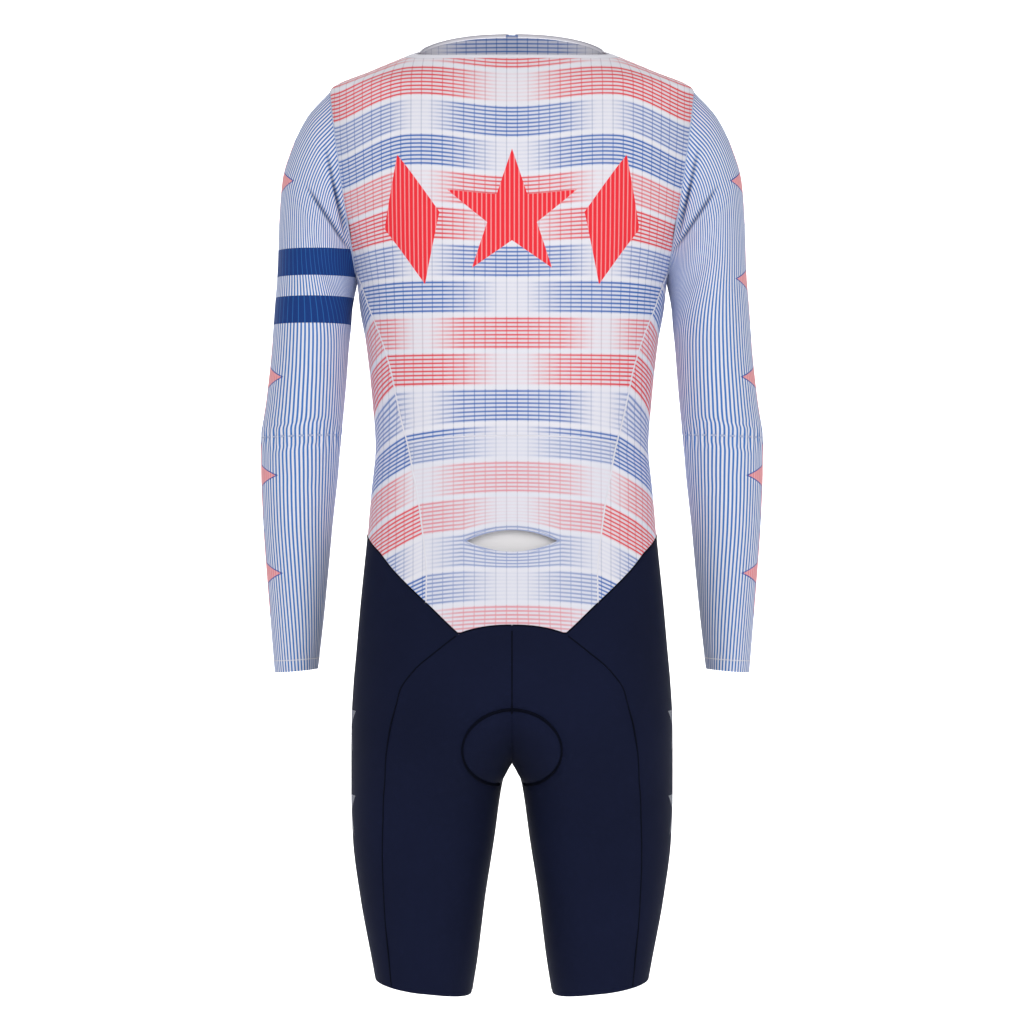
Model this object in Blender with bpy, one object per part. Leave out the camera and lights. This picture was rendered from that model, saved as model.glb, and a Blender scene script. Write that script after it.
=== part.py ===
"""Track cycling speed suit, worn form: long sleeves, open neck, knee-length legs.

The suit stands as it does on the wearer, hollow and open at the neck, cuffs and
leg hems. Each piece that a maker would cut and sew is one closed cloth wall.
+X is the wearer's right, +Y the wearer's front, +Z up. The origin is the centre
of the neck at the height of the shoulder points. Lengths below are millimetres.
A "drop" is a height below the shoulder points. An "angle" is in degrees round
the body: 0 is the centre back, 90 the right side, 180 the centre front.
"""

import math
from collections import namedtuple

import bmesh
import bpy
import numpy as np
from mathutils import Matrix, Vector

MM = 0.001
GARMENT = "track_speed_suit"

# ---- Driving dimensions -------------------------------------------------------
WALL = 1.6  # thickness of a cloth wall
SEAM_GAP = 0.3  # clearance between two pieces where they are sewn
ROUNDNESS = 0.85  # exponent of the body rings: 1 is an ellipse, less is squarer

SHARPEST_MITRE = 0.45  # where two walls meet in a fold, the corner is cut short by this

ARMHOLE_TOP = (189.0, 2.0)  # x and drop of the shoulder point
ARMHOLE_FOOT = (160.9, 202.0)  # x and drop of the underarm point
ARMHOLE_BACK = 52.0  # how far the armhole reaches behind and before the shoulder
ARMHOLE_FRONT = 50.0
UNDERARM_START, UNDERARM_END = 150.0, 210.0  # arc of the armhole on the side panel

NECK_FRONT, NECK_SIDE, NECK_BACK = -65.5, -40.6, -29.0  # drops of the neck edge
BINDING = 6.0  # width of the neck binding
ZIP_HALF_GAP = 3.2  # each front panel stops this far from the centre line

POCKET_SEAM_CENTRE, POCKET_SEAM_SIDE = 361.0, 368.0
MOUTH_DROP = 468.0  # the pocket mouth is an eye-shaped slit in the lower back
MOUTH_HALF_WIDTH, MOUTH_HALF_HEIGHT = 46.0, 11.0
POCKET_DEPTH = 7.5  # how far the lining stands off behind the mouth

SLIDER_DROP = -50.0  # the slider's middle, near the top of the coil
SLIDER_SIZE = (8.0, 3.0, 11.0)
SLIDER_LIFT = 0.6  # clearance under the slider, which spans a slight hollow of the neck
EAR_WIDTH, EAR_OVER_BAR = 1.6, 1.5
BAR_RADIUS = 0.8
PULL_EYE, PULL_EYE_WIDTH = 2.2, 3.2  # outer radius of the pull's eye, and its width
PULL_LENGTH, PULL_THICK = 24.0, 1.4

RISE_TOP = 560.0  # below this drop the body begins to part into two legs
CROTCH = 699.0
CROTCH_RADIUS = 3.0
HEM_MIDDLE, HEM_TILT, HEM_DIP = 929.7, 7.3, 3.0

PAD_CENTRE, PAD_HALF_WIDTH, PAD_HALF_HEIGHT = 680.0, 52.0, 41.0
PAD_RELIEF = 2.6  # how far the seat pad pushes the cloth out

# ---- Numbers of facets --------------------------------------------------------
SHOULDER_ROWS, ARMHOLE_ROWS, BACK_SIDE_ROWS, POCKET_ROWS = 4, 8, 5, 8
UNDERARM_COLS, BACK_COLS, FRONT_COLS, POCKET_SIDE_COLS = 6, 14, 7, 3
LINING_ROWS = (2, 7)  # the rows of the pocket panel that the lining hangs behind
SIDE_ROWS = BACK_SIDE_ROWS + POCKET_ROWS
SEAT_ROWS, THIGH_ROWS = 8, 7
SEAT_COLS = 8
STATION_STEPS = 1

# ---- Tables -------------------------------------------------------------------
# Rings of the body. "centre" and "inner" describe the leg: a ring runs from its
# inner edge to its outer edge about its centre. Above the crotch inner is
# negative, so the ring is cut by the middle plane.
BODY_COLUMNS = ("drop", "outer", "centre", "inner", "back", "front")
BODY_ROWS = (
    (-66.0, 95.7, 0.0, -60.0, 52.0, 56.0),
    (-41.0, 95.7, 0.0, -60.0, 57.0, 62.0),
    (-31.0, 117.5, 0.0, -60.0, 66.0, 67.0),
    (-19.0, 146.0, 0.0, -60.0, 76.0, 73.0),
    (2.0, 189.0, 0.0, -60.0, 90.0, 82.0),
    (44.0, 183.1, 0.0, -60.0, 107.0, 97.0),
    (106.0, 174.4, 0.0, -60.0, 118.0, 112.0),
    (202.0, 160.9, 0.0, -60.0, 115.0, 118.0),
    (231.0, 157.6, 0.0, -60.0, 112.0, 117.0),
    (262.0, 152.0, 0.0, -60.0, 107.0, 114.0),
    (324.0, 145.2, 0.0, -60.0, 94.0, 107.0),
    (371.0, 142.0, 0.0, -60.0, 87.0, 104.0),
    (418.0, 146.2, 0.0, -60.0, 90.0, 104.0),
    (465.0, 150.5, 0.0, -60.0, 102.0, 106.0),
    (532.0, 157.3, 0.0, -60.0, 119.0, 108.0),
    (580.0, 161.5, 2.0, -60.0, 127.0, 108.0),
    (620.0, 165.0, 14.0, -50.0, 129.0, 108.0),
    (655.0, 166.8, 38.0, -30.0, 126.0, 107.0),
    (680.0, 167.0, 57.0, -13.0, 121.0, 106.0),
    (699.0, 167.0, 69.0, 0.0, 115.0, 105.0),
    (715.0, 167.0, 77.0, 6.5, 109.0, 103.0),
    (730.0, 167.0, 83.0, 9.6, 104.0, 101.0),
    (777.0, 165.4, 90.0, 16.3, 94.0, 94.0),
    (839.0, 157.6, 92.5, 26.5, 82.0, 85.0),
    (902.0, 146.0, 91.5, 35.0, 69.0, 74.0),
    (940.0, 139.0, 91.0, 41.5, 61.0, 66.0),
)
# Rings of the sleeve, each in a plane through its outer and its inner point.
SLEEVE_COLUMNS = (
    "station", "outer_x", "outer_drop", "inner_x", "inner_drop", "behind", "before", "forward"
)
SLEEVE_ROWS = (
    (0, 189.0, 2.0, 160.9, 202.0, 52.0, 50.0, 0.0),
    (1, 212.5, 28.0, 161.9, 207.0, 56.0, 54.0, 0.0),
    (2, 229.3, 62.4, 163.0, 212.0, 58.5, 56.0, -1.0),
    (3, 238.7, 95.7, 164.2, 218.5, 59.5, 57.0, -2.0),
    (4, 241.8, 137.0, 165.8, 229.0, 59.5, 57.0, -3.0),
    (5, 243.4, 187.0, 167.0, 246.5, 58.5, 57.0, -5.0),
    (6, 246.5, 231.0, 169.0, 267.0, 57.0, 56.0, -7.0),
    (7, 249.6, 274.6, 171.6, 301.6, 55.5, 55.0, -8.0),
    (8, 254.8, 322.0, 174.7, 337.0, 53.5, 53.0, -9.0),
    (9, 260.0, 362.0, 177.2, 359.0, 51.5, 51.5, -9.0),
    (10, 260.6, 397.0, 180.4, 399.0, 49.0, 49.0, -5.0),
    (11, 259.0, 449.0, 186.2, 449.0, 46.0, 45.5, 3.0),
    (12, 256.4, 496.0, 191.0, 496.0, 41.5, 41.5, 12.0),
    (13, 253.2, 545.0, 196.2, 545.0, 36.5, 36.5, 23.0),
    (14, 249.0, 607.0, 203.3, 603.0, 30.5, 30.5, 36.0),
)
ELBOW_STATION, CUFF_STATION = 9, 14
# Seams that run down the body, as the angle at which each stands at a drop.
SIDE_SEAM_ROWS = (
    (188.6, 80.1), (220.5, 69.0), (253.8, 61.0), (292.8, 54.5), (325.0, 51.5), (345.0, 49.5),
    (368.0, 46.0), (396.0, 41.8), (420.0, 38.0), (466.0, 33.2), (501.0, 30.6), (531.0, 30.0),
)
OUTER_BACK_ROWS = (
    (562.0, 16.0), (578.0, 23.4), (600.0, 33.0), (623.0, 38.0), (650.0, 38.0), (681.0, 36.0),
    (720.0, 31.5), (757.0, 30.0), (826.0, 31.7), (875.0, 34.4), (940.0, 37.5),
)
OUTER_FRONT_ROWS = (
    (462.0, 105.0), (560.0, 124.0), (650.0, 138.0), (720.0, 147.0), (826.0, 148.0), (940.0, 143.0),
)
# The waist seam, as the drop at which it stands at an angle. Its corner is a point.
WAIST_CORNER, WAIST_CENTRE_DROP, WAIST_CORNER_DROP = 16.0, 553.0, 562.0
WAIST_ROWS = (
    (16.0, 562.0), (30.0, 531.0), (50.0, 497.0), (63.5, 478.4), (90.0, 463.0), (105.0, 462.0),
    (140.0, 468.0), (180.0, 475.0),
)

# ---- Colours: linear base colour and roughness ----------------------------------
WHITE_PRINT = ("white_printed_knit", (0.80, 0.80, 0.86), 0.62)
SLEEVE_STRIPE = ("blue_striped_knit", (0.45, 0.53, 0.78), 0.62)
NAVY = ("navy_knit", (0.010, 0.013, 0.035), 0.70)
LINING = ("grey_lining", (0.72, 0.71, 0.72), 0.75)
ZIP_PLASTIC = ("zip_plastic", (0.62, 0.64, 0.70), 0.40)
ZIP_METAL = ("zip_metal", (0.55, 0.56, 0.58), 0.30)


class Curves:
    """A short table read between its rows by a smooth curve through them."""

    def __init__(self, columns, rows):
        self.columns = columns
        self.rows = np.array(rows, float)

    def at(self, column, where):
        """The value of a column at a place along the table's first column."""
        xs = self.rows[:, 0]
        ys = self.rows[:, self.columns.index(column)]
        where = min(max(where, xs[0]), xs[-1])
        i = min(max(int(np.searchsorted(xs, where)) - 1, 0), len(xs) - 2)
        step = xs[i + 1] - xs[i]
        t = (where - xs[i]) / step
        rise = ys[i + 1] - ys[i]
        start = self._slope(xs, ys, i) * step
        end = self._slope(xs, ys, i + 1) * step
        return (
            ys[i] + t * start + t * t * (3 * rise - 2 * start - end)
            + t * t * t * (start + end - 2 * rise)
        )

    @staticmethod
    def _slope(xs, ys, i):
        """Slope at a row, held to the gentler side so that the curve never overshoots."""
        if i == 0 or i == len(xs) - 1:
            j = min(i, len(xs) - 2)
            return (ys[j + 1] - ys[j]) / (xs[j + 1] - xs[j])
        before = (ys[i] - ys[i - 1]) / (xs[i] - xs[i - 1])
        after = (ys[i + 1] - ys[i]) / (xs[i + 1] - xs[i])
        if before * after <= 0:
            return 0.0
        return 2 * before * after / (before + after)


SeamPoint = namedtuple("SeamPoint", "point along apart inward")
BODY = Curves(BODY_COLUMNS, BODY_ROWS)
SLEEVE = Curves(SLEEVE_COLUMNS, SLEEVE_ROWS)
SIDE_SEAM = Curves(("drop", "angle"), SIDE_SEAM_ROWS)
OUTER_BACK = Curves(("drop", "angle"), OUTER_BACK_ROWS)
OUTER_FRONT = Curves(("drop", "angle"), OUTER_FRONT_ROWS)
WAIST = Curves(("angle", "drop"), WAIST_ROWS)


def mix(a, b, share):
    """The value a given share of the way from a to b."""
    return a + (b - a) * share


def ease(share):
    """A smooth step from 0 to 1."""
    share = min(max(share, 0.0), 1.0)
    return share * share * (3 - 2 * share)


def unit(vector):
    """The vector at length one."""
    return vector / np.linalg.norm(vector)


# ---- The body's surface ---------------------------------------------------------
def armhole_share(drop):
    """How far down the armhole a drop is, from 0 to 1, or None outside it."""
    share = (drop - ARMHOLE_TOP[1]) / (ARMHOLE_FOOT[1] - ARMHOLE_TOP[1])
    return share if 0 < share < 1 else None


def ring_half_width(drop, depth, reach):
    """Half width of a ring. Beside the armhole it is wide enough to pass through its edge."""
    share = armhole_share(drop)
    if share is None:
        return BODY.at("outer", drop)
    edge_x = mix(ARMHOLE_TOP[0], ARMHOLE_FOOT[0], share)
    edge_y = reach * math.sqrt(1 - (2 * share - 1) ** 2)
    power = 2 / ROUNDNESS
    return edge_x / (1 - (edge_y / depth) ** power) ** (1 / power)


def parted(x, drop):
    """x near the middle plane, rounded so that the two legs meet in a soft arch."""
    near = abs(x)
    arch = math.sqrt(near * near + 2 * CROTCH_RADIUS * near) - near
    arch *= ease((drop - RISE_TOP) / 60.0) * (1 - ease(near / 60.0))
    return math.copysign(near + arch, x)


def body_point(angle, drop):
    """A point of the cloth's outer face on the right half. Below the crotch, angles under 0
    or over 180 are the inside of the thigh."""
    sine, cosine = math.sin(math.radians(angle)), math.cos(math.radians(angle))
    depth, reach = (
        (BODY.at("back", drop), ARMHOLE_BACK) if cosine > 0 else (BODY.at("front", drop), ARMHOLE_FRONT)
    )
    centre = BODY.at("centre", drop)
    if sine >= 0:
        x = centre + (ring_half_width(drop, depth, reach) - centre) * sine**ROUNDNESS
    else:
        x = centre - (centre - BODY.at("inner", drop)) * (-sine) ** ROUNDNESS
    y = -math.copysign(depth * abs(cosine) ** ROUNDNESS, cosine)
    if drop > RISE_TOP:
        x = parted(x, drop)
    return np.array((x, y, -drop))


def torso_point(angle, drop):
    """A point of the torso, where a negative angle is the left half."""
    point = body_point(abs(angle), drop)
    if angle < 0:
        point[0] = -point[0]
    return point


def facing(surface, u, v, du=0.4, dv=0.8):
    """The outward normal of a surface at u and v, where u runs round it and v down it."""
    across = surface(u + du, v) - surface(u - du, v)
    down = surface(u, v + dv) - surface(u, v - dv)
    return unit(np.cross(down, across))


def middle_angle(drop, front):
    """The angle at which the middle plane cuts the ring of the right leg."""
    centre, inner = BODY.at("centre", drop), BODY.at("inner", drop)
    share = 1.0 if drop >= CROTCH else max(centre, 0.0) / (centre - inner)
    turned = math.degrees(math.asin(min(share, 1.0) ** (1 / ROUNDNESS)))
    return 180.0 + turned if front else -turned


def pad_relief(x, drop):
    """How far the seat pad pushes the cloth of the seat out at x."""
    away = math.hypot(x / PAD_HALF_WIDTH, (drop - PAD_CENTRE) / PAD_HALF_HEIGHT)
    return PAD_RELIEF * ease((1.05 - away) / 0.4)


def neck_edge(angle):
    """Drop of the neck's edge."""
    turn = math.radians(abs(angle))
    middle, swing = (NECK_BACK + NECK_FRONT) / 2, (NECK_BACK - NECK_FRONT) / 2
    return middle + swing * math.cos(turn) + (NECK_SIDE - middle) * math.sin(turn) ** 2


def neck_seam(angle):
    """Drop of the seam between the binding and the panels."""
    return neck_edge(angle) + BINDING


def waist_seam(angle):
    """Drop of the seam between the top and the shorts."""
    angle = abs(angle)
    if angle > WAIST_CORNER:
        return WAIST.at("drop", angle)
    return mix(WAIST_CENTRE_DROP, WAIST_CORNER_DROP, (angle / WAIST_CORNER) ** 2)


def pocket_seam(angle):
    """Drop of the seam across the back above the pocket panel."""
    return mix(POCKET_SEAM_CENTRE, POCKET_SEAM_SIDE, (angle / SIDE_SEAM.at("angle", 368.0)) ** 2)


def hem(angle):
    """Drop of the leg hem."""
    turn = math.radians(angle)
    return HEM_MIDDLE - HEM_TILT * math.sin(turn) + HEM_DIP * math.cos(turn)


# ---- The sleeve's surface ---------------------------------------------------------
def sleeve_point(angle, station):
    """A point of the right sleeve: angle 0 is its outer edge, 90 its back, 180 its inner edge."""
    turn = math.radians(angle)
    outer = np.array((SLEEVE.at("outer_x", station), 0, -SLEEVE.at("outer_drop", station)))
    inner = np.array((SLEEVE.at("inner_x", station), 0, -SLEEVE.at("inner_drop", station)))
    point = (outer + inner) / 2 + (outer - inner) / 2 * math.cos(turn)
    side = "behind" if math.sin(turn) > 0 else "before"
    point[1] = SLEEVE.at("forward", station) - SLEEVE.at(side, station) * math.sin(turn)
    return point


def sleeve_facing(angle, station):
    """The outward normal of the right sleeve."""
    around = sleeve_point(angle + 1, station) - sleeve_point(angle - 1, station)
    down = sleeve_point(angle, station + 0.05) - sleeve_point(angle, station - 0.05)
    if station < 0.05:
        down = sleeve_point(angle, 0.05) - sleeve_point(angle, 0)
    return unit(np.cross(around, down))


def armhole_angles():
    """Angles of the sleeve's columns, which are also the corners of the torso's armhole."""
    back = np.linspace(0, UNDERARM_START, ARMHOLE_ROWS + 1)
    under = np.linspace(UNDERARM_START, UNDERARM_END, UNDERARM_COLS + 1)
    front = np.linspace(UNDERARM_END, 360, ARMHOLE_ROWS + 1)
    return [*back[:-1], *under[:-1], *front[:-1]]


def on_armhole(turn):
    """Angle and drop on the body of the point of the armhole at a sleeve angle."""
    share = (1 - math.cos(math.radians(turn))) / 2
    drop = mix(ARMHOLE_TOP[1], ARMHOLE_FOOT[1], share)
    edge_x = mix(ARMHOLE_TOP[0], ARMHOLE_FOOT[0], share)
    back = turn <= 180
    depth = BODY.at("back" if back else "front", drop)
    width = ring_half_width(drop, depth, ARMHOLE_BACK if back else ARMHOLE_FRONT)
    sine = min(edge_x / width, 1.0) ** (1 / ROUNDNESS)
    angle = math.degrees(math.asin(sine))
    return (angle if back else 180 - angle), drop


def armhole_seam(turn):
    """The seam's point at a sleeve angle, for the right side, with the ways from it: along the
    seam, from the sleeve to the torso, and in through both walls (longer round a corner)."""
    point = sleeve_point(turn, 0)
    along = unit(sleeve_point(turn + 1, 0) - sleeve_point(turn - 1, 0))
    to_sleeve = sleeve_point(turn, 0.2) - point
    to_sleeve = unit(to_sleeve - along * to_sleeve.dot(along))
    angle, drop = on_armhole(turn)
    torso_out = facing(body_point, angle, drop - (0.9 if turn in (0, 360) else 0.0))
    to_torso = unit(np.cross(along, torso_out))
    apart = unit(to_torso - to_sleeve)
    inward = unit(np.cross(along, apart))
    lean = -inward.dot(sleeve_facing(turn, 0))
    return SeamPoint(point, along, apart, inward / max(lean, SHARPEST_MITRE))


# ---- Grids of points ---------------------------------------------------------------
class Grid:
    """Rows and columns of points on the cloth's outer face, with the way in through it."""

    def __init__(self, points, inward):
        self.points = np.array(points, float)
        self.inward = np.array(inward, float)

    def part_from_seams(self, top=True, bottom=True, first=True, last=True):
        """Draws the sewn edges back by half the seam gap, along the cloth."""
        p = self.points
        whole = p.copy()
        for wanted, edge, inside in (
            (top, np.s_[0], np.s_[1]), (bottom, np.s_[-1], np.s_[-2]),
            (first, np.s_[:, 0], np.s_[:, 1]), (last, np.s_[:, -1], np.s_[:, -2]),
        ):
            if not wanted:
                continue
            way = whole[inside] - whole[edge]
            p[edge] += way / np.linalg.norm(way, axis=-1, keepdims=True) * SEAM_GAP / 2
        return self

    def pin(self, row, column, seam, side, shift=0):
        """Puts a vertex on the armhole seam, on the torso's side (1) or the sleeve's (-1).

        Where two panels of the torso meet on it, shift moves each along the seam as well.
        """
        away = seam.apart * side + seam.along * shift
        self.points[row, column] = seam.point + away * SEAM_GAP / 2
        self.inward[row, column] = seam.inward

    def pin_armhole(self, column, first_turn, last_turn, flip=1.0):
        """Seats the edge of a back or front panel on the armhole, from shoulder to underarm."""
        for i in range(ARMHOLE_ROWS + 1):
            turn = mix(first_turn, last_turn, i / ARMHOLE_ROWS)
            low, high = sorted((first_turn, last_turn))
            seam = armhole_seam(turn)
            seam = SeamPoint(*(part * np.array((flip, 1.0, 1.0)) for part in seam))
            self.pin(SHOULDER_ROWS + i, column, seam, 1, (turn == low) - (turn == high))


def patch(surface, rows, shares, start_edge, end_edge, top=None, bottom=None, relief=None):
    """A grid between two edges, each a function of the row that gives (angle, drop).

    shares are the columns' places from the first edge, 0, to the last, 1. top and bottom are
    seams, as functions of the angle: the first and last rows lie on them, and the rows between
    follow them less and less.
    """
    starts = [start_edge(i) for i in range(rows + 1)]
    ends = [end_edge(i) for i in range(rows + 1)]

    def flat(i, share):
        return mix(starts[i][0], ends[i][0], share), mix(starts[i][1], ends[i][1], share)

    points, inward = [], []
    for i in range(rows + 1):
        line, ways = [], []
        for share in shares:
            angle, drop = flat(i, share)
            for seam, row, pull in ((top, 0, 1 - i / rows), (bottom, rows, i / rows)):
                if seam:
                    at_angle, at_drop = flat(row, share)
                    drop += (seam(at_angle) - at_drop) * pull**3
            point, out = surface(angle, drop), facing(surface, angle, drop)
            if relief:
                point = point + out * relief(point[0], drop)
            line.append(point)
            ways.append(-out)
        points.append(line)
        inward.append(ways)
    return Grid(points, inward)


def shares_of(angles):
    """Places of columns that stand at these angles, from the first angle to the last."""
    return [(angle - angles[0]) / (angles[-1] - angles[0]) for angle in angles]


def steps(first, last, count):
    """Evenly spaced numbers, with both ends."""
    return list(np.linspace(first, last, count + 1))


def mirrored(grid):
    """The same grid on the left half, with its columns in the other order."""
    flip = np.array((-1.0, 1.0, 1.0))
    return Grid((grid.points * flip)[:, ::-1], (grid.inward * flip)[:, ::-1])


# ---- Blender objects ---------------------------------------------------------------
def clear_scene():
    """Removes every object that the file starts with."""
    for obj in list(bpy.data.objects):
        bpy.data.objects.remove(obj)


def material(spec):
    """The Principled material of that name, colour and roughness, made once."""
    name, colour, roughness = spec
    made = bpy.data.materials.get(name)
    if made is None:
        made = bpy.data.materials.new(name)
        made.use_nodes = True
        shader = made.node_tree.nodes["Principled BSDF"]
        shader.inputs["Base Color"].default_value = (*colour, 1.0)
        shader.inputs["Roughness"].default_value = roughness
        shader.inputs["Metallic"].default_value = 1.0 if spec is ZIP_METAL else 0.0
    return made


def add_object(name, mesh, spec, collection=GARMENT):
    """Links a mesh as a named object with its material."""
    folder = bpy.data.collections.get(collection)
    if folder is None:
        folder = bpy.data.collections.new(collection)
        bpy.context.scene.collection.children.link(folder)
    obj = bpy.data.objects.new(name, mesh)
    folder.objects.link(obj)
    if spec:
        mesh.materials.append(material(spec))
        mesh.shade_smooth()
        mesh.set_sharp_from_angle(angle=math.radians(50))
    return obj


def wall(name, grid, spec, tube=False, thickness=WALL):
    """A cloth wall: the grid's outer face, the same points moved in, and the edges between."""
    rows, cols = grid.points.shape[:2]
    inner = grid.points + grid.inward * thickness
    shell = bmesh.new()
    skins = []
    for skin in (grid.points, inner):
        skins.append([[shell.verts.new(p * MM) for p in row] for row in skin])
    out, inn = skins
    wide = cols if tube else cols - 1
    for i in range(rows - 1):
        for j in range(wide):
            k = (j + 1) % cols
            for skin in skins:
                shell.faces.new((skin[i][j], skin[i + 1][j], skin[i + 1][k]))
                shell.faces.new((skin[i][j], skin[i + 1][k], skin[i][k]))
    for i in (0, rows - 1):
        for j in range(wide):
            k = (j + 1) % cols
            shell.faces.new((out[i][j], out[i][k], inn[i][k], inn[i][j]))
    if not tube:
        for j in (0, cols - 1):
            for i in range(rows - 1):
                shell.faces.new((out[i][j], out[i + 1][j], inn[i + 1][j], inn[i][j]))
    bmesh.ops.recalc_face_normals(shell, faces=shell.faces)
    mesh = bpy.data.meshes.new(name)
    shell.to_mesh(mesh)
    shell.free()
    return add_object(name, mesh, spec)


def both_sides(name, grid, spec, **options):
    """The right-hand piece and its mirror image."""
    wall(f"{name}_right", grid, spec, **options)
    wall(f"{name}_left", mirrored(grid), spec, **options)


# ---- Edges of the torso's panels -----------------------------------------------------
def shoulder_edge(i):
    """The shoulder seam, from the binding out to the armhole."""
    return 90.0, mix(neck_seam(90.0), ARMHOLE_TOP[1], i / SHOULDER_ROWS)


def back_edge(i):
    """The right edge of the upper back: shoulder seam, armhole, side seam."""
    if i <= SHOULDER_ROWS:
        return shoulder_edge(i)
    i -= SHOULDER_ROWS
    if i <= ARMHOLE_ROWS:
        return on_armhole(UNDERARM_START * i / ARMHOLE_ROWS)
    return side_back_edge(i - ARMHOLE_ROWS)


def side_back_edge(i):
    """The seam between the side panel and the back, from the armhole to the waist."""
    if i == 0:
        return on_armhole(UNDERARM_START)
    top = on_armhole(UNDERARM_START)[1]
    if i <= BACK_SIDE_ROWS:
        drop = mix(top, POCKET_SEAM_SIDE, i / BACK_SIDE_ROWS)
    else:
        drop = mix(POCKET_SEAM_SIDE, waist_seam(30.0), (i - BACK_SIDE_ROWS) / POCKET_ROWS)
    return SIDE_SEAM.at("angle", drop), drop


def side_front_edge(i):
    """The seam between the side panel and the front."""
    angle, drop = on_armhole(UNDERARM_END)
    share = i / SIDE_ROWS
    return mix(angle, 105.0, share), mix(drop, waist_seam(105.0), share)


def front_side_edge(i):
    """The outer edge of a front panel: shoulder seam, armhole, side seam."""
    if i <= SHOULDER_ROWS:
        return shoulder_edge(i)
    i -= SHOULDER_ROWS
    if i <= ARMHOLE_ROWS:
        return on_armhole(360 - (360 - UNDERARM_END) * i / ARMHOLE_ROWS)
    return side_front_edge(i - ARMHOLE_ROWS)


def zip_angle(drop):
    """The angle at which a front panel stops beside the zip."""
    width = ring_half_width(drop, BODY.at("front", drop), ARMHOLE_FRONT)
    return 180 - math.degrees(math.asin((ZIP_HALF_GAP / width) ** (1 / ROUNDNESS)))


FRONT_ROWS = SHOULDER_ROWS + ARMHOLE_ROWS + SIDE_ROWS


def zip_edge(i):
    """The edge of a front panel beside the zip."""
    drop = mix(neck_seam(180.0), waist_seam(180.0), i / FRONT_ROWS)
    return zip_angle(drop), drop


# ---- The pieces of the top --------------------------------------------------------------
def left_edge(edge):
    """The mirror image of an edge."""
    return lambda i: (-edge(i)[0], edge(i)[1])


def make_back():
    """The upper back, from shoulder to shoulder and down to the pocket seam."""
    rows = SHOULDER_ROWS + ARMHOLE_ROWS + BACK_SIDE_ROWS
    grid = patch(
        torso_point, rows, steps(0, 1, BACK_COLS), left_edge(back_edge), back_edge, neck_seam,
        pocket_seam,
    ).part_from_seams()
    grid.pin_armhole(-1, 0.0, UNDERARM_START)
    grid.pin_armhole(0, 0.0, UNDERARM_START, flip=-1.0)
    wall("back_upper", grid, WHITE_PRINT)


def make_side():
    """The side panels, each from the underarm to the waist."""
    turns = steps(UNDERARM_START, UNDERARM_END, UNDERARM_COLS)
    grid = patch(
        body_point, SIDE_ROWS, steps(0, 1, UNDERARM_COLS), side_back_edge, side_front_edge, None,
        waist_seam,
    ).part_from_seams(top=False)
    for j, turn in enumerate(turns):
        grid.pin(0, j, armhole_seam(turn), 1, (j == 0) - (j == UNDERARM_COLS))
    both_sides("side_panel", grid, WHITE_PRINT)


def make_front():
    """The two front panels, which the zip parts."""
    grid = patch(
        body_point, FRONT_ROWS, steps(0, 1, FRONT_COLS), front_side_edge, zip_edge, neck_seam,
        waist_seam,
    ).part_from_seams(last=False)
    grid.pin_armhole(0, 360.0, UNDERARM_END)
    both_sides("front", grid, WHITE_PRINT)


def make_binding():
    """The neck binding, one strip from the zip round the back to the zip."""
    reach = zip_angle(neck_seam(180.0))
    half = steps(0, 90, BACK_COLS // 2) + steps(90, reach, FRONT_COLS)[1:]
    turns = [-turn for turn in half[:0:-1]] + half
    points, inward = [], []
    for width in (0.0, BINDING - SEAM_GAP):
        drops = [neck_edge(turn) + width for turn in turns]
        points.append([torso_point(turn, drop) for turn, drop in zip(turns, drops)])
        inward.append([-facing(torso_point, turn, drop) for turn, drop in zip(turns, drops)])
    wall("neck_binding", Grid(points, inward), WHITE_PRINT)


def mouth_cutter():
    """An eye-shaped bar that cuts the pocket mouth."""
    steps = 10
    shape = bmesh.new()
    across = [MOUTH_HALF_WIDTH * math.sin(math.pi * (k / steps - 0.5)) for k in range(steps + 1)]
    lid = [(x, MOUTH_HALF_HEIGHT * (1 - (x / MOUTH_HALF_WIDTH) ** 2)) for x in across]
    outline = lid + [(x, -z) for x, z in reversed(lid[1:-1])]
    corners = [shape.verts.new((x * MM, -200 * MM, (z - MOUTH_DROP) * MM)) for x, z in outline]
    face = shape.faces.new(corners)
    pushed = bmesh.ops.extrude_face_region(shape, geom=[face])["geom"]
    verts = [v for v in pushed if isinstance(v, bmesh.types.BMVert)]
    bmesh.ops.translate(shape, verts=verts, vec=(0, 150 * MM, 0))
    bmesh.ops.recalc_face_normals(shape, faces=shape.faces)
    mesh = bpy.data.meshes.new("mouth_cutter")
    shape.to_mesh(mesh)
    shape.free()
    cutter = add_object("mouth_cutter", mesh, None, "cutters")
    cutter.hide_render = True
    cutter.display_type = "WIRE"
    return cutter


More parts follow.
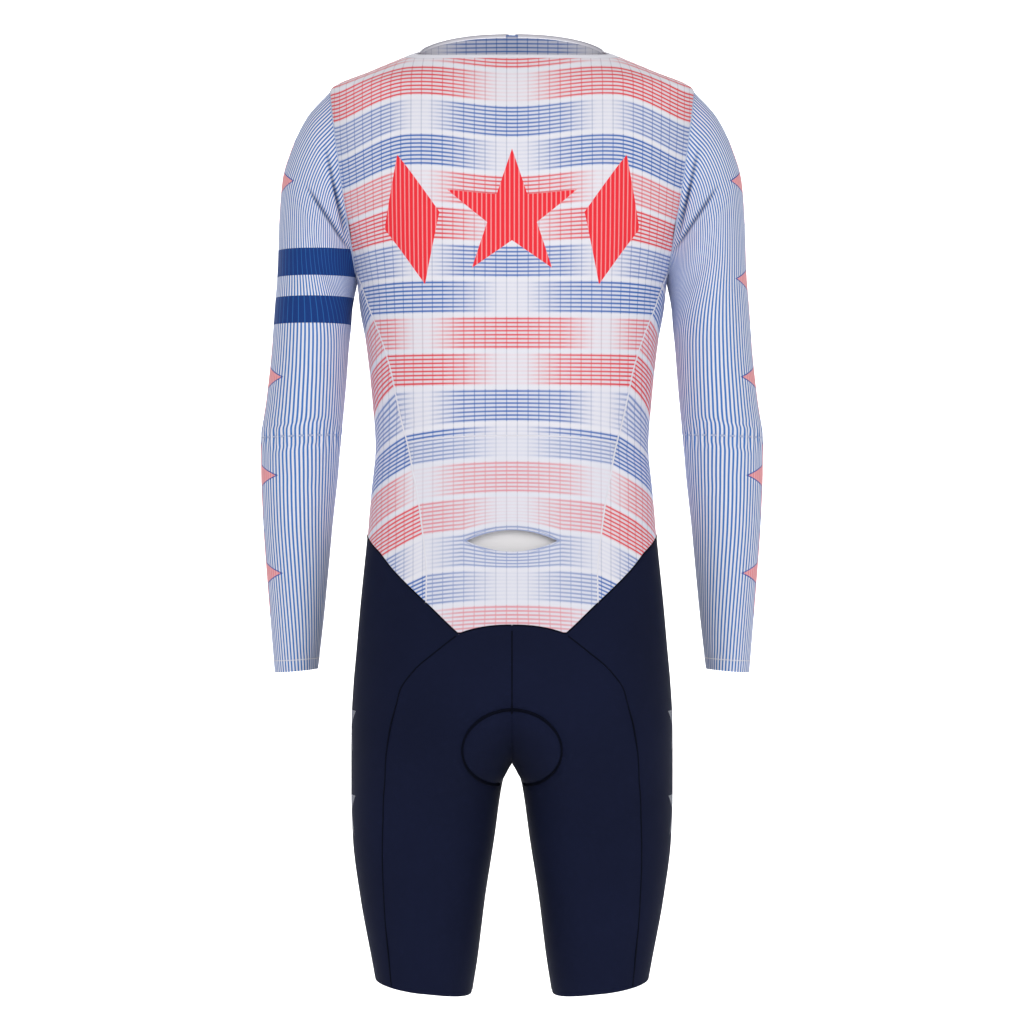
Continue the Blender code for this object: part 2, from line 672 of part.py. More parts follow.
def make_pocket():
    """The pocket panel on the lower back, with its mouth, and the lining seen through it."""
    def edge(i):
        return side_back_edge(i + BACK_SIDE_ROWS)

    half = steps(0, WAIST_CORNER, SEAT_COLS) + steps(WAIST_CORNER, 30.0, POCKET_SIDE_COLS)[1:]
    columns = [-turn for turn in half[:0:-1]] + half
    grid = patch(
        torso_point, POCKET_ROWS, shares_of(columns), left_edge(edge), edge, pocket_seam,
        waist_seam,
    ).part_from_seams()
    panel = wall("pocket_panel", grid, WHITE_PRINT)
    cut = panel.modifiers.new("mouth", "BOOLEAN")
    cut.operation, cut.object = "DIFFERENCE", mouth_cutter()

    block = np.s_[LINING_ROWS[0]: LINING_ROWS[1] + 1, POCKET_SIDE_COLS: -POCKET_SIDE_COLS]
    points, ways = grid.points[block], grid.inward[block]
    rows, cols = points.shape[:2]
    swell = np.outer(
        np.sin(np.linspace(0, math.pi, rows)) ** 0.7, np.sin(np.linspace(0, math.pi, cols)) ** 0.7
    )
    depth = WALL + SEAM_GAP + POCKET_DEPTH * np.nan_to_num(swell)
    wall("pocket_lining", Grid(points + ways * depth[:, :, None], ways), LINING)


# ---- The sleeves ------------------------------------------------------------------------
def make_sleeves():
    """Upper and lower sleeves, which meet at the elbow seam."""
    turns = armhole_angles()
    for name, first, last in (
        ("sleeve_upper", 0, ELBOW_STATION), ("sleeve_lower", ELBOW_STATION, CUFF_STATION),
    ):
        stations = np.linspace(first, last, (last - first) * STATION_STEPS + 1)
        points = [[sleeve_point(turn, s) for turn in turns] for s in stations]
        inward = [[-sleeve_facing(turn, s) for turn in turns] for s in stations]
        grid = Grid(points, inward).part_from_seams(
            top=first > 0, bottom=last < CUFF_STATION, first=False, last=False
        )
        if first == 0:
            for j, turn in enumerate(turns):
                grid.pin(0, j, armhole_seam(turn), -1)
        both_sides(name, grid, SLEEVE_STRIPE, tube=True)


# ---- The shorts -------------------------------------------------------------------------
LEG_ROWS = SEAT_ROWS + THIGH_ROWS


def centre_edge(i, front):
    """The centre seam down to the crotch, then the inner leg seam down to the hem."""
    waist = waist_seam(180.0 if front else 0.0)
    inside = 270.0 if front else -90.0
    if i <= SEAT_ROWS:
        drop = mix(waist, CROTCH, math.sin(math.pi / 2 * i / SEAT_ROWS))
        return middle_angle(drop, front), drop
    return inside, mix(CROTCH, hem(inside), (i - SEAT_ROWS) / THIGH_ROWS)


def outer_edge(i, seam):
    """A seam between the outer leg panel and the back or the front of the leg."""
    top = seam.rows[0, 0]
    level = CROTCH + 14
    if i <= SEAT_ROWS:
        drop = mix(top, level, i / SEAT_ROWS)
    else:
        foot = hem(seam.rows[-1, 1])
        drop = mix(level, foot, (i - SEAT_ROWS) / THIGH_ROWS)
    return seam.at("angle", drop), drop


def make_legs():
    """Back, outer and front panel of each leg. Their columns meet those of the top."""
    side = steps(WAIST_CORNER, 30.0, POCKET_SIDE_COLS) + steps(30.0, 105.0, UNDERARM_COLS)[1:]
    fore = steps(105.0, zip_angle(waist_seam(180.0)), FRONT_COLS) + [180.0]
    back = patch(
        body_point, LEG_ROWS, steps(0, 1, SEAT_COLS), lambda i: centre_edge(i, False),
        lambda i: outer_edge(i, OUTER_BACK), waist_seam, hem, pad_relief,
    )
    outer = patch(
        body_point, LEG_ROWS, shares_of(side), lambda i: outer_edge(i, OUTER_BACK),
        lambda i: outer_edge(i, OUTER_FRONT), waist_seam, hem,
    )
    front = patch(
        body_point, LEG_ROWS, shares_of(fore), lambda i: outer_edge(i, OUTER_FRONT),
        lambda i: centre_edge(i, True), waist_seam, hem,
    )
    for name, grid, column in (("seat", back, 0), ("leg_outer", outer, None), ("leg_front", front, -1)):
        grid.part_from_seams(bottom=False)
        if column is not None:
            grid.points[: SEAT_ROWS + 1, column, 0] = SEAM_GAP / 2
            grid.inward[: SEAT_ROWS + 1, column, 0] = 0.0
        both_sides(name, grid, NAVY)


# ---- The zip ----------------------------------------------------------------------------
def make_zip():
    """The coil strip that closes the front, from the neck to the waist."""
    half, rows = ZIP_HALF_GAP - SEAM_GAP, 24
    points, inward = [], []
    for i in range(rows + 1):
        drop = mix(neck_edge(180.0), waist_seam(180.0) - SEAM_GAP, i / rows)
        centre = body_point(180.0, drop)
        out = facing(body_point, 179.0, drop)
        out[0] = 0.0
        points.append([centre + np.array((half, 0, 0)), centre - np.array((half, 0, 0))])
        inward.append([-unit(out)] * 2)
    wall("zip_coil", Grid(points, inward), ZIP_PLASTIC, thickness=WALL + 0.4)


def slider_frame():
    """Where the slider sits: a point on the coil's face, the way down it and the way out."""
    point = body_point(180.0, SLIDER_DROP)
    down = body_point(180.0, SLIDER_DROP + 4) - body_point(180.0, SLIDER_DROP - 4)
    down[0] = 0.0
    down = unit(down)
    return point, down, np.array((0.0, -down[2], down[1]))


def placed(shape):
    """Moves a bmesh from the slider's own frame (Y out, Z up along the coil) to the suit."""
    point, down, out = slider_frame()
    turn = Matrix(((1, 0, 0), (0, out[1], -down[1]), (0, out[2], -down[2])))
    for vertex in shape.verts:
        vertex.co = (turn @ vertex.co + Vector(point)) * MM
    return shape


def block(shape, size, centre):
    """Adds a box of that size about its centre."""
    matrix = Matrix.Translation(centre) @ Matrix.Diagonal((*size, 1.0))
    bmesh.ops.create_cube(shape, size=1.0, matrix=matrix)


def rod(shape, radius, length, centre):
    """Adds a round bar along X."""
    matrix = Matrix.Translation(centre) @ Matrix.Rotation(math.pi / 2, 4, "Y")
    bmesh.ops.create_cone(
        shape, cap_ends=True, segments=16, radius1=radius, radius2=radius, depth=length,
        matrix=matrix,
    )


def piece_of(name, spec, collection, build, *values):
    """One object made by a building function in the slider's frame."""
    shape = bmesh.new()
    build(shape, *values)
    placed(shape)
    bmesh.ops.recalc_face_normals(shape, faces=shape.faces)
    mesh = bpy.data.meshes.new(name)
    shape.to_mesh(mesh)
    shape.free()
    return add_object(name, mesh, spec, collection)


def change(obj, tool, operation):
    """Joins a helper solid to an object, or cuts it out, and hides the helper."""
    step = obj.modifiers.new(tool.name, "BOOLEAN")
    step.operation, step.object = operation, tool
    tool.hide_render = True
    tool.display_type = "WIRE"


def make_slider():
    """The slider on the coil, and its pull, whose eye turns on a bar between two ears."""
    wide, thick, tall = SLIDER_SIZE
    base, bar_out = SLIDER_LIFT, SLIDER_LIFT + thick + PULL_EYE + SEAM_GAP
    ear_in = PULL_EYE_WIDTH / 2 + SEAM_GAP
    slider = piece_of(
        "zip_slider", ZIP_METAL, GARMENT, block, SLIDER_SIZE, (0, base + thick / 2, 0)
    )
    ear_tall = thick + PULL_EYE + SEAM_GAP + EAR_OVER_BAR
    for side in (-1, 1):
        ear = piece_of(
            "ear_right" if side > 0 else "ear_left", None, "cutters", block,
            (EAR_WIDTH, ear_tall, 2 * EAR_OVER_BAR),
            (side * (ear_in + EAR_WIDTH / 2), base + ear_tall / 2, 0),
        )
        change(slider, ear, "UNION")
    bar = piece_of(
        "bar", None, "cutters", rod, BAR_RADIUS, 2 * ear_in + EAR_WIDTH, (0, bar_out, 0)
    )
    change(slider, bar, "UNION")

    pull = piece_of(
        "zip_pull", ZIP_METAL, GARMENT, rod, PULL_EYE, PULL_EYE_WIDTH, (0, bar_out, 0)
    )
    tab = piece_of(
        "tab", None, "cutters", block, (PULL_EYE_WIDTH, PULL_THICK, PULL_LENGTH),
        (0, bar_out + PULL_EYE - PULL_THICK / 2 - 0.1, -PULL_LENGTH / 2),
    )
    change(pull, tab, "UNION")
    eye = piece_of(
        "eye", None, "cutters", rod, BAR_RADIUS + SEAM_GAP, PULL_EYE_WIDTH + 2, (0, bar_out, 0)
    )
    change(pull, eye, "DIFFERENCE")


def main():
    """Builds every piece of the suit."""
    clear_scene()
    make_back()
    make_side()
    make_front()
    make_binding()
    make_pocket()
    make_sleeves()
    make_legs()
    make_zip()
    make_slider()


main()
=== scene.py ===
"""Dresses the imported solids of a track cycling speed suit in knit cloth, seams and a zip.

+X is the wearer's right, +Y the wearer's front, +Z up, and the origin is the centre of the
neck at the height of the shoulder points. Lengths are millimetres unless a name says metres.
A "drop" is a height below the shoulder points. An "angle" is in degrees round the body: 0 is
the centre back, 90 the right side, 180 the centre front.
"""

import logging
import math
from collections.abc import Callable, Sequence
from dataclasses import dataclass, replace
from enum import Enum
from functools import partial

import bpy
import numpy as np
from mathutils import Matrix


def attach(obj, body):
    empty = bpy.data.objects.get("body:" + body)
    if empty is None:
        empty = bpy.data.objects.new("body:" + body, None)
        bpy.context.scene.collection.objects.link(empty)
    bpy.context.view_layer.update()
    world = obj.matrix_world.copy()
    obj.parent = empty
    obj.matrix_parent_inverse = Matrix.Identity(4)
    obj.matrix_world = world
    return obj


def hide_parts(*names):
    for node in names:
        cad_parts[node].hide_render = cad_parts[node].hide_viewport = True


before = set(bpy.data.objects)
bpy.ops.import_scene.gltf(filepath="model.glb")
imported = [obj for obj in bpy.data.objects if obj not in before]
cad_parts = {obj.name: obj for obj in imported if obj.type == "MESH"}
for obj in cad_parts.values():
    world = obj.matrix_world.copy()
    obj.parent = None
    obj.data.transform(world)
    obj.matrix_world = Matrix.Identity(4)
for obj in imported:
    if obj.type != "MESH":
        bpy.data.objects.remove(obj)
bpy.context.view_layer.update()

log = logging.getLogger("suit")
Array = np.ndarray
Edge = Callable[[float], tuple[float, float]]
Surface = Callable[[Array, Array], Array]
Tree = bpy.types.NodeTree
Socket = bpy.types.NodeSocket

MM = 0.001
CLOTH_THICKNESS = 0.9
ROUNDNESS = 0.85  # exponent of the body rings: 1 is an ellipse, less is squarer


# ---- Small tools -----------------------------------------------------------------------
def mix(a: float | Array, b: float | Array, share: float | Array) -> float | Array:
    """The value a given share of the way from a to b."""
    return a + (b - a) * share


def ease(share: Array) -> Array:
    """A smooth step from 0 to 1."""
    share = np.clip(share, 0.0, 1.0)
    return share * share * (3 - 2 * share)


def unit(vectors: Array) -> Array:
    """The vectors at length one."""
    return vectors / np.maximum(np.linalg.norm(vectors, axis=-1, keepdims=True), 1e-12)


def steps(first: float, last: float, count: int) -> list[float]:
    """Evenly spaced numbers, with both ends."""
    return list(np.linspace(first, last, count + 1))


def linear(code: str) -> tuple[float, float, float, float]:
    """An sRGB hex colour as linear light, with full alpha."""
    parts = (int(code[i : i + 2], 16) / 255 for i in (1, 3, 5))
    return (*(c / 12.92 if c <= 0.04045 else ((c + 0.055) / 1.055) ** 2.4 for c in parts), 1.0)


@dataclass
class Table:
    """A short table, read between its rows by a smooth curve that never overshoots."""

    columns: tuple[str, ...]
    rows: tuple[tuple[float, ...], ...]

    def __post_init__(self) -> None:
        """Works out each column's slope at each row."""
        data = np.array(self.rows, float)
        self.places = data[:, 0]
        rise = np.diff(data, axis=0) / np.diff(data[:, :1], axis=0)
        before, after = rise[:-1], rise[1:]
        with np.errstate(divide="ignore", invalid="ignore"):
            inner = np.where(before * after > 0, 2 * before * after / (before + after), 0.0)
        self.slopes = np.vstack((rise[:1], inner, rise[-1:]))
        self.values = data

    def at(self, column: str, where: Array) -> Array:
        """Reads a column.

        Args:
            column: the column's name.
            where: places along the first column.

        Returns:
            The column's values there.
        """
        k = self.columns.index(column)
        xs, ys, slopes = self.places, self.values[:, k], self.slopes[:, k]
        where = np.clip(where, xs[0], xs[-1])
        i = np.clip(np.searchsorted(xs, where) - 1, 0, len(xs) - 2)
        step, rise = xs[i + 1] - xs[i], ys[i + 1] - ys[i]
        t = (where - xs[i]) / step
        start, end = slopes[i] * step, slopes[i + 1] * step
        return (
            ys[i] + t * start + t * t * (3 * rise - 2 * start - end)
            + t**3 * (start + end - 2 * rise)
        )


# ---- The form of the suit --------------------------------------------------------------
BODY = Table(
    ("drop", "outer", "centre", "inner", "back", "front"),
    (
        (-66.0, 95.7, 0.0, -60.0, 52.0, 56.0),
        (-41.0, 95.7, 0.0, -60.0, 57.0, 62.0),
        (-31.0, 117.5, 0.0, -60.0, 66.0, 67.0),
        (-19.0, 146.0, 0.0, -60.0, 76.0, 73.0),
        (2.0, 189.0, 0.0, -60.0, 90.0, 82.0),
        (44.0, 183.1, 0.0, -60.0, 107.0, 97.0),
        (106.0, 174.4, 0.0, -60.0, 118.0, 112.0),
        (202.0, 160.9, 0.0, -60.0, 115.0, 118.0),
        (231.0, 157.6, 0.0, -60.0, 112.0, 117.0),
        (262.0, 152.0, 0.0, -60.0, 107.0, 114.0),
        (324.0, 145.2, 0.0, -60.0, 94.0, 107.0),
        (371.0, 142.0, 0.0, -60.0, 87.0, 104.0),
        (418.0, 146.2, 0.0, -60.0, 90.0, 104.0),
        (465.0, 150.5, 0.0, -60.0, 102.0, 106.0),
        (532.0, 157.3, 0.0, -60.0, 119.0, 108.0),
        (580.0, 161.5, 2.0, -60.0, 127.0, 108.0),
        (620.0, 165.0, 14.0, -50.0, 129.0, 108.0),
        (655.0, 166.8, 38.0, -30.0, 126.0, 107.0),
        (680.0, 167.0, 57.0, -13.0, 121.0, 106.0),
        (699.0, 167.0, 69.0, 0.0, 115.0, 105.0),
        (715.0, 167.0, 77.0, 6.5, 109.0, 103.0),
        (730.0, 167.0, 83.0, 9.6, 104.0, 101.0),
        (777.0, 165.4, 90.0, 16.3, 94.0, 94.0),
        (839.0, 157.6, 92.5, 26.5, 82.0, 85.0),
        (902.0, 146.0, 91.5, 35.0, 69.0, 74.0),
        (940.0, 139.0, 91.0, 41.5, 61.0, 66.0),
    ),
)
SLEEVE = Table(
    ("station", "outer_x", "outer_drop", "inner_x", "inner_drop", "behind", "before", "forward"),
    (
        (0, 189.0, 2.0, 160.9, 202.0, 52.0, 50.0, 0.0),
        (1, 212.5, 28.0, 161.9, 207.0, 56.0, 54.0, 0.0),
        (2, 229.3, 62.4, 163.0, 212.0, 58.5, 56.0, -1.0),
        (3, 238.7, 95.7, 164.2, 218.5, 59.5, 57.0, -2.0),
        (4, 241.8, 137.0, 165.8, 229.0, 59.5, 57.0, -3.0),
        (5, 243.4, 187.0, 167.0, 246.5, 58.5, 57.0, -5.0),
        (6, 246.5, 231.0, 169.0, 267.0, 57.0, 56.0, -7.0),
        (7, 249.6, 274.6, 171.6, 301.6, 55.5, 55.0, -8.0),
        (8, 254.8, 322.0, 174.7, 337.0, 53.5, 53.0, -9.0),
        (9, 260.0, 362.0, 177.2, 359.0, 51.5, 51.5, -9.0),
        (10, 260.6, 397.0, 180.4, 399.0, 49.0, 49.0, -5.0),
        (11, 259.0, 449.0, 186.2, 449.0, 46.0, 45.5, 3.0),
        (12, 256.4, 496.0, 191.0, 496.0, 41.5, 41.5, 12.0),
        (13, 253.2, 545.0, 196.2, 545.0, 36.5, 36.5, 23.0),
        (14, 249.0, 607.0, 203.3, 603.0, 30.5, 30.5, 36.0),
    ),
)
SIDE_SEAM = Table(
    ("drop", "angle"),
    (
        (188.6, 80.1), (220.5, 69.0), (253.8, 61.0), (292.8, 54.5), (325.0, 51.5), (345.0, 49.5),
        (368.0, 46.0), (396.0, 41.8), (420.0, 38.0), (466.0, 33.2), (501.0, 30.6), (531.0, 30.0),
    ),
)
OUTER_BACK = Table(
    ("drop", "angle"),
    (
        (562.0, 16.0), (578.0, 23.4), (600.0, 33.0), (623.0, 38.0), (650.0, 38.0), (681.0, 36.0),
        (720.0, 31.5), (757.0, 30.0), (826.0, 31.7), (875.0, 34.4), (940.0, 37.5),
    ),
)
OUTER_FRONT = Table(
    ("drop", "angle"),
    (
        (462.0, 105.0), (560.0, 124.0), (650.0, 138.0), (720.0, 147.0), (826.0, 148.0),
        (940.0, 143.0),
    ),
)
WAIST = Table(
    ("angle", "drop"),
    (
        (16.0, 562.0), (30.0, 531.0), (50.0, 497.0), (63.5, 478.4), (90.0, 463.0),
        (105.0, 462.0), (140.0, 468.0), (180.0, 475.0),
    ),
)


@dataclass(frozen=True)
class Fold:
    """A soft trough (or ridge, if depth is negative) that the worn cloth takes."""

    start: tuple[float, float]  # x and drop
    end: tuple[float, float]
    width: float
    depth: float
    tuck: float = 0.0  # how much cloth it hides, which shifts the print across it
    shade: float = 0.0  # how dark the shadow is at the bottom of a sharp crease


SLEEVE_FOLDS = (
    Fold((212, 103), (166, 170), 2.1, 3.0, 1.4, 0.75),
    Fold((192, 62), (170, 160), 2.0, 2.4, 1.2, 0.6),
    Fold((201, 92), (176, 150), 7.0, -1.8),
    Fold((216, 124), (174, 186), 7.0, -1.4),
    Fold((184, 98), (169, 150), 2.0, 1.4, 0.6, 0.4),
    Fold((212, 160), (174, 216), 6.0, 1.5, 0.6),
    Fold((254, 350), (186, 345), 3.0, 1.3, 0.5),
    Fold((252, 374), (190, 369), 3.2, 1.2, 0.5),
    Fold((240, 398), (196, 420), 8.0, 0.9),
    Fold((228, 560), (212, 588), 8.0, 0.8),
)
TORSO_FOLDS = (
    Fold((178, 128), (150, 190), 6.0, 2.0, 0.8),
    Fold((165, 168), (138, 232), 7.0, 1.8, 0.8),
    Fold((134, 330), (92, 352), 9.0, 1.1),
    Fold((138, 384), (98, 372), 10.0, 1.2),
    Fold((150, 452), (108, 470), 11.0, 1.0),
    Fold((60, 500), (18, 512), 9.0, 0.9),
)
SHORTS_FOLDS = (
    Fold((26, 712), (92, 744), 9.0, 1.3),
    Fold((30, 734), (84, 772), 12.0, 1.0),
    Fold((150, 640), (96, 676), 16.0, 0.9),
    Fold((142, 884), (96, 898), 14.0, 0.7),
)


@dataclass(frozen=True)
class BodyForm:
    """The outer face of the cloth on the body and the legs."""

    armhole_top: tuple[float, float] = (189.0, 2.0)
    armhole_foot: tuple[float, float] = (160.9, 202.0)
    reach_behind: float = 52.0
    reach_before: float = 50.0
    rise_top: float = 560.0
    crotch: float = 699.0
    crotch_radius: float = 3.0

    def half_width(self, drop: Array, depth: Array, reach: Array) -> Array:
        """Half width of a ring, wide enough beside the armhole to pass through its edge.

        Args:
            drop: heights of the rings.
            depth: how far each ring reaches behind or before the middle.
            reach: how far the armhole reaches the same way.

        Returns:
            The half widths.
        """
        share = (drop - self.armhole_top[1]) / (self.armhole_foot[1] - self.armhole_top[1])
        beside = (share > 0) & (share < 1)
        share = np.clip(share, 0.0, 1.0)
        edge_x = mix(self.armhole_top[0], self.armhole_foot[0], share)
        edge_y = reach * np.sqrt(np.clip(1 - (2 * share - 1) ** 2, 0, 1))
        power = 2 / ROUNDNESS
        width = edge_x / (1 - (edge_y / depth) ** power) ** (1 / power)
        return np.where(beside, width, BODY.at("outer", drop))

    def point(self, angle: Array, drop: Array) -> Array:
        """Points of the right half. Below the crotch, angles under 0 or over 180 are the
        inside of the thigh.

        Args:
            angle: angles round the body.
            drop: heights below the shoulders.

        Returns:
            The points, with x, y and z last.
        """
        angle, drop = np.broadcast_arrays(np.asarray(angle, float), np.asarray(drop, float))
        sine, cosine = np.sin(np.radians(angle)), np.cos(np.radians(angle))
        behind = cosine > 0
        depth = np.where(behind, BODY.at("back", drop), BODY.at("front", drop))
        reach = np.where(behind, self.reach_behind, self.reach_before)
        centre, inner = BODY.at("centre", drop), BODY.at("inner", drop)
        swing = np.abs(sine) ** ROUNDNESS
        width = self.half_width(drop, depth, reach)
        beyond = np.where(sine >= 0, width - centre, inner - centre)
        x = centre + beyond * swing
        y = -np.sign(cosine) * depth * np.abs(cosine) ** ROUNDNESS
        near = np.abs(x)
        arch = np.sqrt(near * near + 2 * self.crotch_radius * near) - near
        arch *= ease((drop - self.rise_top) / 60) * (1 - ease(near / 60))
        return np.stack((np.sign(x) * (near + arch), y, -drop), -1)

    def across(self, angle: Array, drop: Array) -> Array:
        """Points of the torso, where a negative angle is the left half.

        Args:
            angle: angles round the body, under 0 on the left half.
            drop: heights below the shoulders.

        Returns:
            The points, with x, y and z last.
        """
        angle, drop = np.broadcast_arrays(np.asarray(angle, float), np.asarray(drop, float))
        points = self.point(np.abs(angle), drop)
        points[..., 0] *= np.where(angle < 0, -1.0, 1.0)
        return points

    def girth(self, angle: Array, drop: Array) -> Array:
        """Distance round the body from the centre back to an angle, at a drop.

        Args:
            angle: angles round the body, under 0 on the left half.
            drop: heights below the shoulders.

        Returns:
            The distances, in millimetres.
        """
        angle, drop = np.broadcast_arrays(np.asarray(angle, float), np.asarray(drop, float))
        shares = np.linspace(0, 1, 33)
        ring = self.across(np.abs(angle)[..., None] * shares, drop[..., None] + 0 * shares)
        return np.linalg.norm(np.diff(ring, axis=-2), axis=-1).sum(-1)

    def on_armhole(self, turn: float) -> tuple[float, float]:
        """Angle and drop of the point of the armhole at a sleeve angle.

        Args:
            turn: an angle round the sleeve.

        Returns:
            The angle and the drop there.
        """
        share = (1 - math.cos(math.radians(turn))) / 2
        drop = mix(self.armhole_top[1], self.armhole_foot[1], share)
        edge_x = mix(self.armhole_top[0], self.armhole_foot[0], share)
        back = turn <= 180
        depth = BODY.at("back" if back else "front", drop)
        width = self.half_width(drop, depth, self.reach_behind if back else self.reach_before)
        angle = math.degrees(math.asin(min(edge_x / float(width), 1.0) ** (1 / ROUNDNESS)))
        return (angle if back else 180 - angle), drop

    def middle_angle(self, drop: float, front: bool) -> float:
        """The angle at which the middle plane cuts the ring of the right leg.

        Args:
            drop: the height of the ring.
            front: whether the front cut is wanted, or the back one.

        Returns:
            The angle.
        """
        centre, inner = float(BODY.at("centre", drop)), float(BODY.at("inner", drop))
        share = 1.0 if drop >= self.crotch else max(centre, 0.0) / (centre - inner)
        turned = math.degrees(math.asin(min(share, 1.0) ** (1 / ROUNDNESS)))
        return 180.0 + turned if front else -turned

    def angle_of(self, x: Array, drop: Array) -> Array:
        """The angle behind the body at which the cloth stands at x.

        Args:
            x: distances from the middle, whose sign is left out.
            drop: heights below the shoulders.

        Returns:
            The angles.
        """
        drop = np.asarray(drop, float)
        depth, centre = BODY.at("back", drop), BODY.at("centre", drop)
        width = self.half_width(drop, depth, self.reach_behind)
        near = np.abs(x)
        parting = ease((drop - self.rise_top) / 60) * self.crotch_radius
        near = np.sqrt(near * near + parting * parting) - parting
        out = np.clip((near - centre) / (width - centre), -1, 1)
        into = np.clip((centre - near) / (centre - BODY.at("inner", drop)), -1, 1)
        swing = np.where(near >= centre, np.abs(out), -np.abs(into))
        return np.degrees(np.arcsin(np.sign(swing) * np.abs(swing) ** (1 / ROUNDNESS)))


FORM = BodyForm()


@dataclass(frozen=True)
class SleeveForm:
    """The outer face of the right sleeve: angle 0 is its outer edge, 90 its back."""

    def point(self, turn: Array, station: Array) -> Array:
        """Points of the sleeve.

        Args:
            turn: angles round the sleeve.
            station: places down the sleeve, in rows of its table.

        Returns:
            The points, with x, y and z last.
        """
        turn, station = np.broadcast_arrays(np.asarray(turn, float), np.asarray(station, float))
        cosine, sine = np.cos(np.radians(turn)), np.sin(np.radians(turn))
        high = np.stack((SLEEVE.at("outer_x", station), -SLEEVE.at("outer_drop", station)), -1)
        low = np.stack((SLEEVE.at("inner_x", station), -SLEEVE.at("inner_drop", station)), -1)
        flat = (high + low) / 2 + (high - low) / 2 * cosine[..., None]
        depth = np.where(sine > 0, SLEEVE.at("behind", station), SLEEVE.at("before", station))
        y = SLEEVE.at("forward", station) - depth * sine
        return np.stack((flat[..., 0], y, flat[..., 1]), -1)

    def around(self, turn: Array, station: Array) -> Array:
        """Signed distance round the sleeve from its outer edge.

        Args:
            turn: angles round the sleeve.
            station: places down the sleeve, in rows of its table.

        Returns:
            The distances, negative before the edge.
        """
        turn, station = np.broadcast_arrays(np.asarray(turn, float), np.asarray(station, float))
        signed = (turn + 180) % 360 - 180
        shares = np.linspace(0, 1, 33)
        ring = self.point(np.abs(signed)[..., None] * shares, station[..., None] + 0 * shares)
        return np.linalg.norm(np.diff(ring, axis=-2), axis=-1).sum(-1) * np.sign(signed)


ARM = SleeveForm()


# ---- Seams -----------------------------------------------------------------------------
def neck_edge(angle: Array) -> Array:
    """Drop of the neck's edge.

    Args:
        angle: angles round the body, under 0 on the left half.

    Returns:
        The drops.
    """
    turn, front, side, back = np.radians(np.abs(angle)), -65.5, -40.6, -29.0
    middle = (back + front) / 2
    return middle + (back - front) / 2 * np.cos(turn) + (side - middle) * np.sin(turn) ** 2


def waist_seam(angle: Array) -> Array:
    """Drop of the seam between the top and the shorts, whose corners point down.

    Args:
        angle: angles round the body, under 0 on the left half.

    Returns:
        The drops.
    """
    angle, corner = np.abs(angle), 16.0
    arch = mix(553.0, 562.0, (angle / corner) ** 2)
    return np.where(angle > corner, WAIST.at("drop", angle), arch)


def pocket_seam(angle: Array) -> Array:
    """Drop of the seam across the back above the pocket panel."""
    return mix(361.0, 368.0, (angle / 46.0) ** 2)


def hem(angle: Array) -> Array:
    """Drop of the leg hem."""
    turn = np.radians(angle)
    return 929.7 - 7.3 * np.sin(turn) + 3.0 * np.cos(turn)


